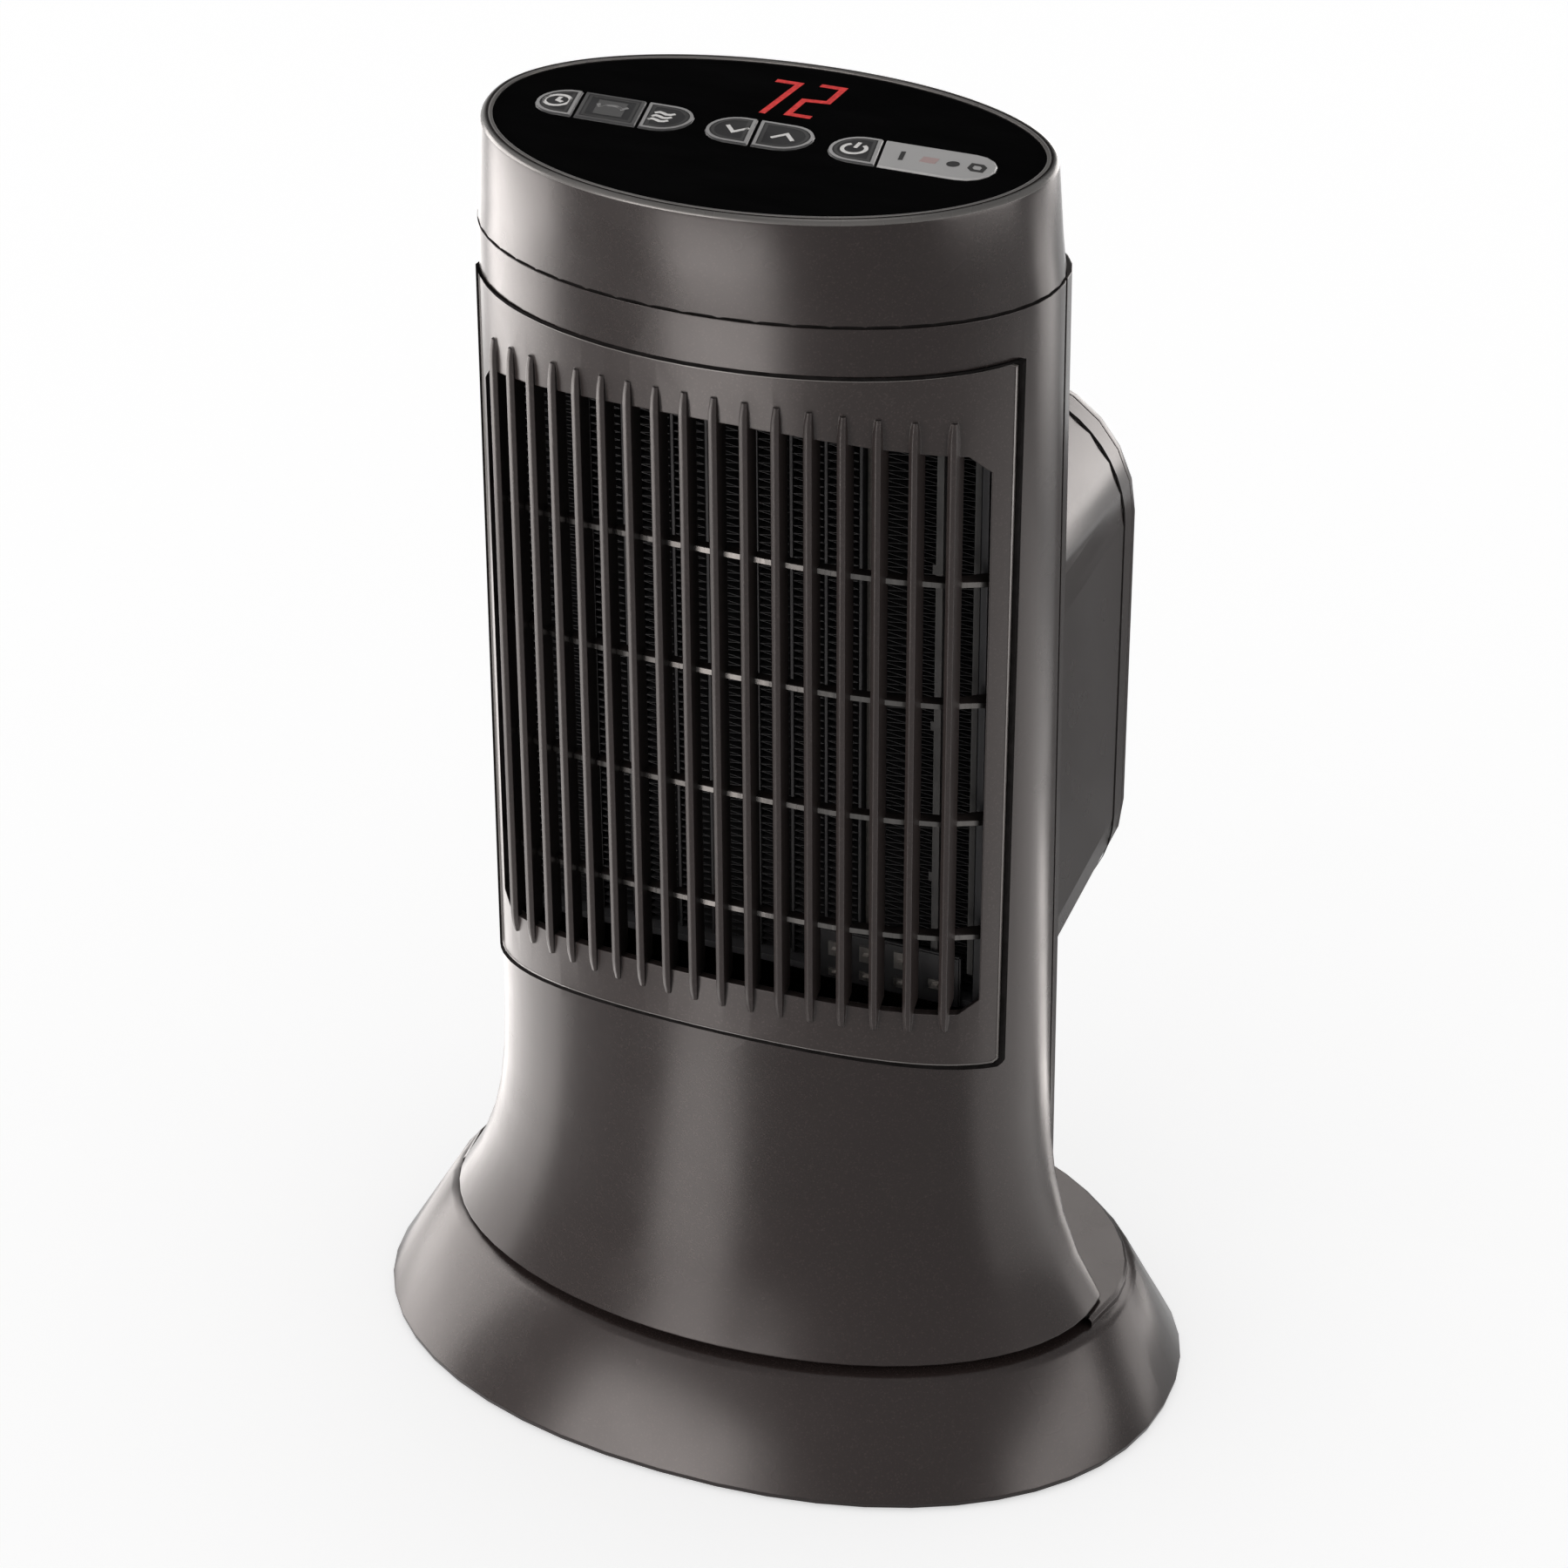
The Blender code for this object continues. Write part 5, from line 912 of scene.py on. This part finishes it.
def make_core_details():
    """Bus strips in front of the last pack, and a terminal strip with its lugs at the core's foot."""
    tray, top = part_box("core_frame")
    tall = (top.z - tray.z) / MM

    def block(mesh, across, ahead, up):
        """A box from ranges in mm: across the heater, in front of the tray and above its foot."""
        low = (across[0] * MM, tray.y - ahead[1] * MM, tray.z + up[0] * MM)
        high = (across[1] * MM, tray.y - ahead[0] * MM, tray.z + up[1] * MM)
        slab(mesh, low, high)

    mesh = bmesh.new()
    block(mesh, (58.8, 60.9), (-2.6, -0.4), (2.5, tall - 2.5))
    block(mesh, (70.6, 72.4), (0.0, 0.5), (12.0, tall - 12.0))
    for foot in (40.0, 90.0, 140.0):
        block(mesh, (57.6, 58.8), (-2.1, -0.9), (foot, foot + 3.0))
    add_piece("bus_strips", mesh, BUS_GREY, "tower")

    mesh = bmesh.new()
    block(mesh, (24.0, 69.0), (0.0, TERMINAL_DEPTH), (0.2, 17.5))
    bmesh.ops.recalc_face_normals(mesh, faces=mesh.faces)
    bmesh.ops.bevel(mesh, geom=mesh.edges[:], offset=0.5 * MM, segments=2, affect="EDGES")
    add_piece("terminal_strip", mesh, TERMINAL, "tower", smooth=30)

    mesh = bmesh.new()
    front = TERMINAL_DEPTH
    for middle, height, half in LUGS:
        block(mesh, (middle - 2.3, middle + 2.3), (front, front + 0.5), (height - half, height + half))
        block(mesh, (middle - 0.9, middle + 0.9), (front + 0.5, front + 1.6), (height - 0.4, height + 0.4))
    add_piece("terminal_lugs", mesh, DULL_METAL, "tower")


def screw(mesh, x, y, z):
    """Adds a cross-recess screw head that faces down."""
    rings = []
    for radius, lift in (
        (SCREW_RADIUS, SCREW_DEPTH),
        (SCREW_RADIUS, SCREW_DEPTH * 0.45),
        (SCREW_RADIUS * 0.8, 0.0),
    ):
        turns = [2 * math.pi * i / SCREW_STEPS for i in range(SCREW_STEPS)]
        circle = [(x + radius * math.cos(turn), y + radius * math.sin(turn)) for turn in turns]
        rings.append([mesh.verts.new((*point, z + lift)) for point in circle])
    skin(mesh, rings)
    mesh.faces.new(rings[0])
    arm, half = SCREW_RADIUS * 0.55, SCREW_RADIUS * 0.13
    cross = [(arm, half), (half, half), (half, arm), (-half, arm), (-half, half), (-arm, half)]
    cross += [(-across, -along) for across, along in cross]
    lip, pit = (
        [mesh.verts.new((x + across * share, y + along * share, z + lift)) for across, along in cross]
        for share, lift in ((1.0, 0.0), (0.7, SCREW_DEPTH / 2))
    )
    skin(mesh, [lip, pit])
    mesh.faces.new(pit)
    edges = []
    for ring in (rings[-1], lip):
        for pair in zip(ring, ring[1:] + ring[:1]):
            edges.append(mesh.edges.get(pair) or mesh.edges.new(pair))
    bmesh.ops.triangle_fill(mesh, use_beauty=True, edges=edges)


def make_base_screws():
    """Four screws that hold the base plate, seated on its underside."""
    low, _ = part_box("base_plate")
    mesh = bmesh.new()
    for x, y in SCREW_PLACES:
        screw(mesh, x * MM, y * MM, low.z - SCREW_DEPTH)
    add_piece("base_screws", mesh, STEEL, "base", smooth=30)


# Studio
def outward(azimuth, elevation=0.0):
    """A direction from the heater: azimuth 0 in front of the outlet, 90 on its right-hand side."""
    turn, lift = math.radians(azimuth), math.radians(elevation)
    return Vector((math.sin(turn) * math.cos(lift), -math.cos(turn) * math.cos(lift), math.sin(lift)))


def soft_box(name, place, facing, width, length, radiance):
    """A rectangular soft box that lights the heater alone, so that the floor stays even."""
    data = bpy.data.lights.new(name, "AREA")
    data.shape = "RECTANGLE"
    data.size = width
    data.size_y = length
    data.energy = radiance * math.pi * width * length
    data.color = LAMP_COLOUR
    lamp = bpy.data.objects.new(name, data)
    bpy.context.scene.collection.objects.link(lamp)
    lamp.location = place
    lamp.rotation_euler = facing
    lamp.visible_camera = False
    lamp.light_linking.receiver_collection = LIT


def standing_box(name, azimuth, distance, width, height, radiance):
    """A soft box that stands on the floor and faces the heater."""
    away = outward(azimuth)
    place = away * distance + Vector((0, 0, height / 2))
    soft_box(name, place, away.to_track_quat("Z", "Y").to_euler(), width, height, radiance)


def lying_box(name, azimuth, near, far, width, radiance, side=0):
    """A soft box on the floor, facing up. It runs away from the heater, along a line or on one side of it."""
    place = outward(azimuth) * ((near + far) / 2) + outward(azimuth + 90) * (side * width / 2)
    place.z = LYING_HEIGHT
    turn = Matrix.Rotation(math.radians(azimuth + 180), 4, "Z") @ Matrix.Rotation(math.pi, 4, "X")
    soft_box(name, place, turn.to_euler(), width, far - near, radiance)


def high_box(name, azimuth, elevation, distance, width, height, radiance):
    """A soft box held up, aimed at the heater's foot."""
    away = outward(azimuth, elevation)
    soft_box(name, away * distance, away.to_track_quat("Z", "Y").to_euler(), width, height, radiance)


def make_world():
    """An even pale room with one dark flag, placed where the top panel mirrors it towards the camera."""
    world = bpy.data.worlds.new("studio")
    bpy.context.scene.world = world
    world.use_nodes = True
    nodes = Nodes(world.node_tree)
    back = world.node_tree.nodes["Background"]
    place = nodes.add("ShaderNodeTexCoord").outputs["Generated"]
    flag_middle = outward(CAMERA_AZIMUTH + 180, FLAG_ELEVATION)
    pair = {0: place, 1: flag_middle}
    near = nodes.add("ShaderNodeVectorMath", pair, operation="DOT_PRODUCT").outputs["Value"]
    edge = nodes.span(near, math.cos(math.radians(FLAG_OUTER)), math.cos(math.radians(FLAG_INNER)))
    mirrored = nodes.add("ShaderNodeLightPath").outputs["Is Glossy Ray"]
    flag = nodes.combine("MULTIPLY", edge, mirrored)
    nodes.link(nodes.span(nodes.backdrop_rays(), 0.0, 1.0, ROOM_LIGHT, 1.0), back.inputs["Strength"])
    nodes.link(nodes.blend(flag, grey(1.0), grey(0.01)), back.inputs["Color"])


def make_floor():
    """A pale paper floor that is white where it is seen, and keeps the heater's shadow."""
    finish = Finish("studio_floor", 0.9, specular=0.1)
    finish.mottle(finish.noise(0.8, 2.0), 0.3, 0.7, grey(0.86), grey(0.87))
    finish.shader.inputs["Emission Color"].default_value = (1.0, 1.0, 1.0, 1.0)
    finish.drive("Emission Strength", finish.span(finish.backdrop_rays(), 0.0, 1.0, 0.0, FLOOR_GLOW))
    mesh = bmesh.new()
    corners = ((-1, -1), (1, -1), (1, 1), (-1, 1))
    mesh.faces.new([mesh.verts.new((x * FLOOR_REACH, y * FLOOR_REACH, 0.0)) for x, y in corners])
    floor = add_object("floor", mesh, finish.material)


def make_lamps():
    """Azimuth and elevation in degrees, distances and sizes in metres, and radiance last."""
    standing_box("left_box", -87, 0.80, 0.64, 0.20, 9.4)
    high_box("left_high_box", -90, 27, 0.90, 0.60, 0.40, 8.5)
    standing_box("left_rear_box", -136, 0.80, 0.50, 0.22, 2.2)
    lying_box("left_floor_box", -65, 0.13, 0.80, 0.50, 2.9, side=-1)
    standing_box("front_box", -13.5, 0.62, 0.34, 0.20, 11.5)
    lying_box("front_floor_box", -17.5, 0.15, 0.56, 0.08, 5.8)
    high_box("high_front_box", -24, 27.5, 0.90, 0.50, 0.35, 11.8)
    high_box("high_right_box", 83, 26.6, 0.89, 0.68, 0.28, 7.6)
    standing_box("right_box", 132, 0.80, 0.34, 0.25, 4.2)
    lying_box("right_floor_box", 72, 0.16, 0.75, 0.50, 1.7, side=1)
    lying_box("edge_box", 134, 0.20, 0.40, 0.05, 6.0)
    high_box("deck_box", -175, 39, 0.52, 0.24, 0.20, 4.8)
    high_box("high_rear_box", 157, 25, 0.90, 0.45, 0.46, 6.0)
    high_box("top_box", 0, 89, 1.25, 0.35, 0.35, 2.5)


def make_flag():
    """A grey folded card behind the housing, which only its mirror image shows."""
    finish = Finish("flag_cloth", 0.95, specular=0.0)
    finish.mottle(finish.noise(300.0, 2.0), 0.3, 0.7, grey(0.45), grey(0.49))
    mesh = bmesh.new()
    left, right, near, far, foot, top = 0.05, 0.26, 0.12, 0.36, 0.001, 0.16
    edges = ((near, foot), (far, foot), (far, top))
    rows = [[mesh.verts.new((x, *edge)) for x in (left, right)] for edge in edges]
    for first, second in zip(rows, rows[1:]):
        mesh.faces.new((first[0], first[1], second[1], second[0]))
    flag = add_object("flag", mesh, finish.material)
    flag.visible_camera = False
    flag.visible_diffuse = False
    flag.visible_shadow = False


def make_camera():
    """The photograph's camera: the scene's own, with a small shift."""
    data = bpy.data.cameras.new("camera")
    data.sensor_width = SENSOR
    data.lens = FOCAL_PIXELS / IMAGE_PIXELS * SENSOR
    data.shift_x = (IMAGE_PIXELS / 2 - CENTRE_PIXEL_X) / IMAGE_PIXELS
    data.shift_y = (CENTRE_PIXEL_Y - IMAGE_PIXELS / 2) / IMAGE_PIXELS
    camera = bpy.data.objects.new("camera", data)
    bpy.context.scene.collection.objects.link(camera)
    back, right = outward(CAMERA_AZIMUTH, CAMERA_ELEVATION), outward(CAMERA_AZIMUTH + 90)
    turn = Matrix((right, back.cross(right), back)).transposed()
    camera.matrix_world = Matrix.Translation(CAMERA_PLACE) @ turn.to_4x4()
    bpy.context.scene.camera = camera


LIT = bpy.data.collections.new("lit_by_boxes")
dress_frame()
make_key_signs()
make_display()
make_lens_marks()
make_lip_highlights()
make_frame_seams()
make_shell_seams()
make_rib_facings()
make_pleats()
make_filter_weave()
make_core_details()
make_base_screws()
for item in bpy.context.scene.objects:
    if item.type == "MESH":
        LIT.objects.link(item)
make_world()
make_floor()
make_lamps()
make_flag()
make_camera()
bpy.context.scene.view_settings.view_transform = "Standard"
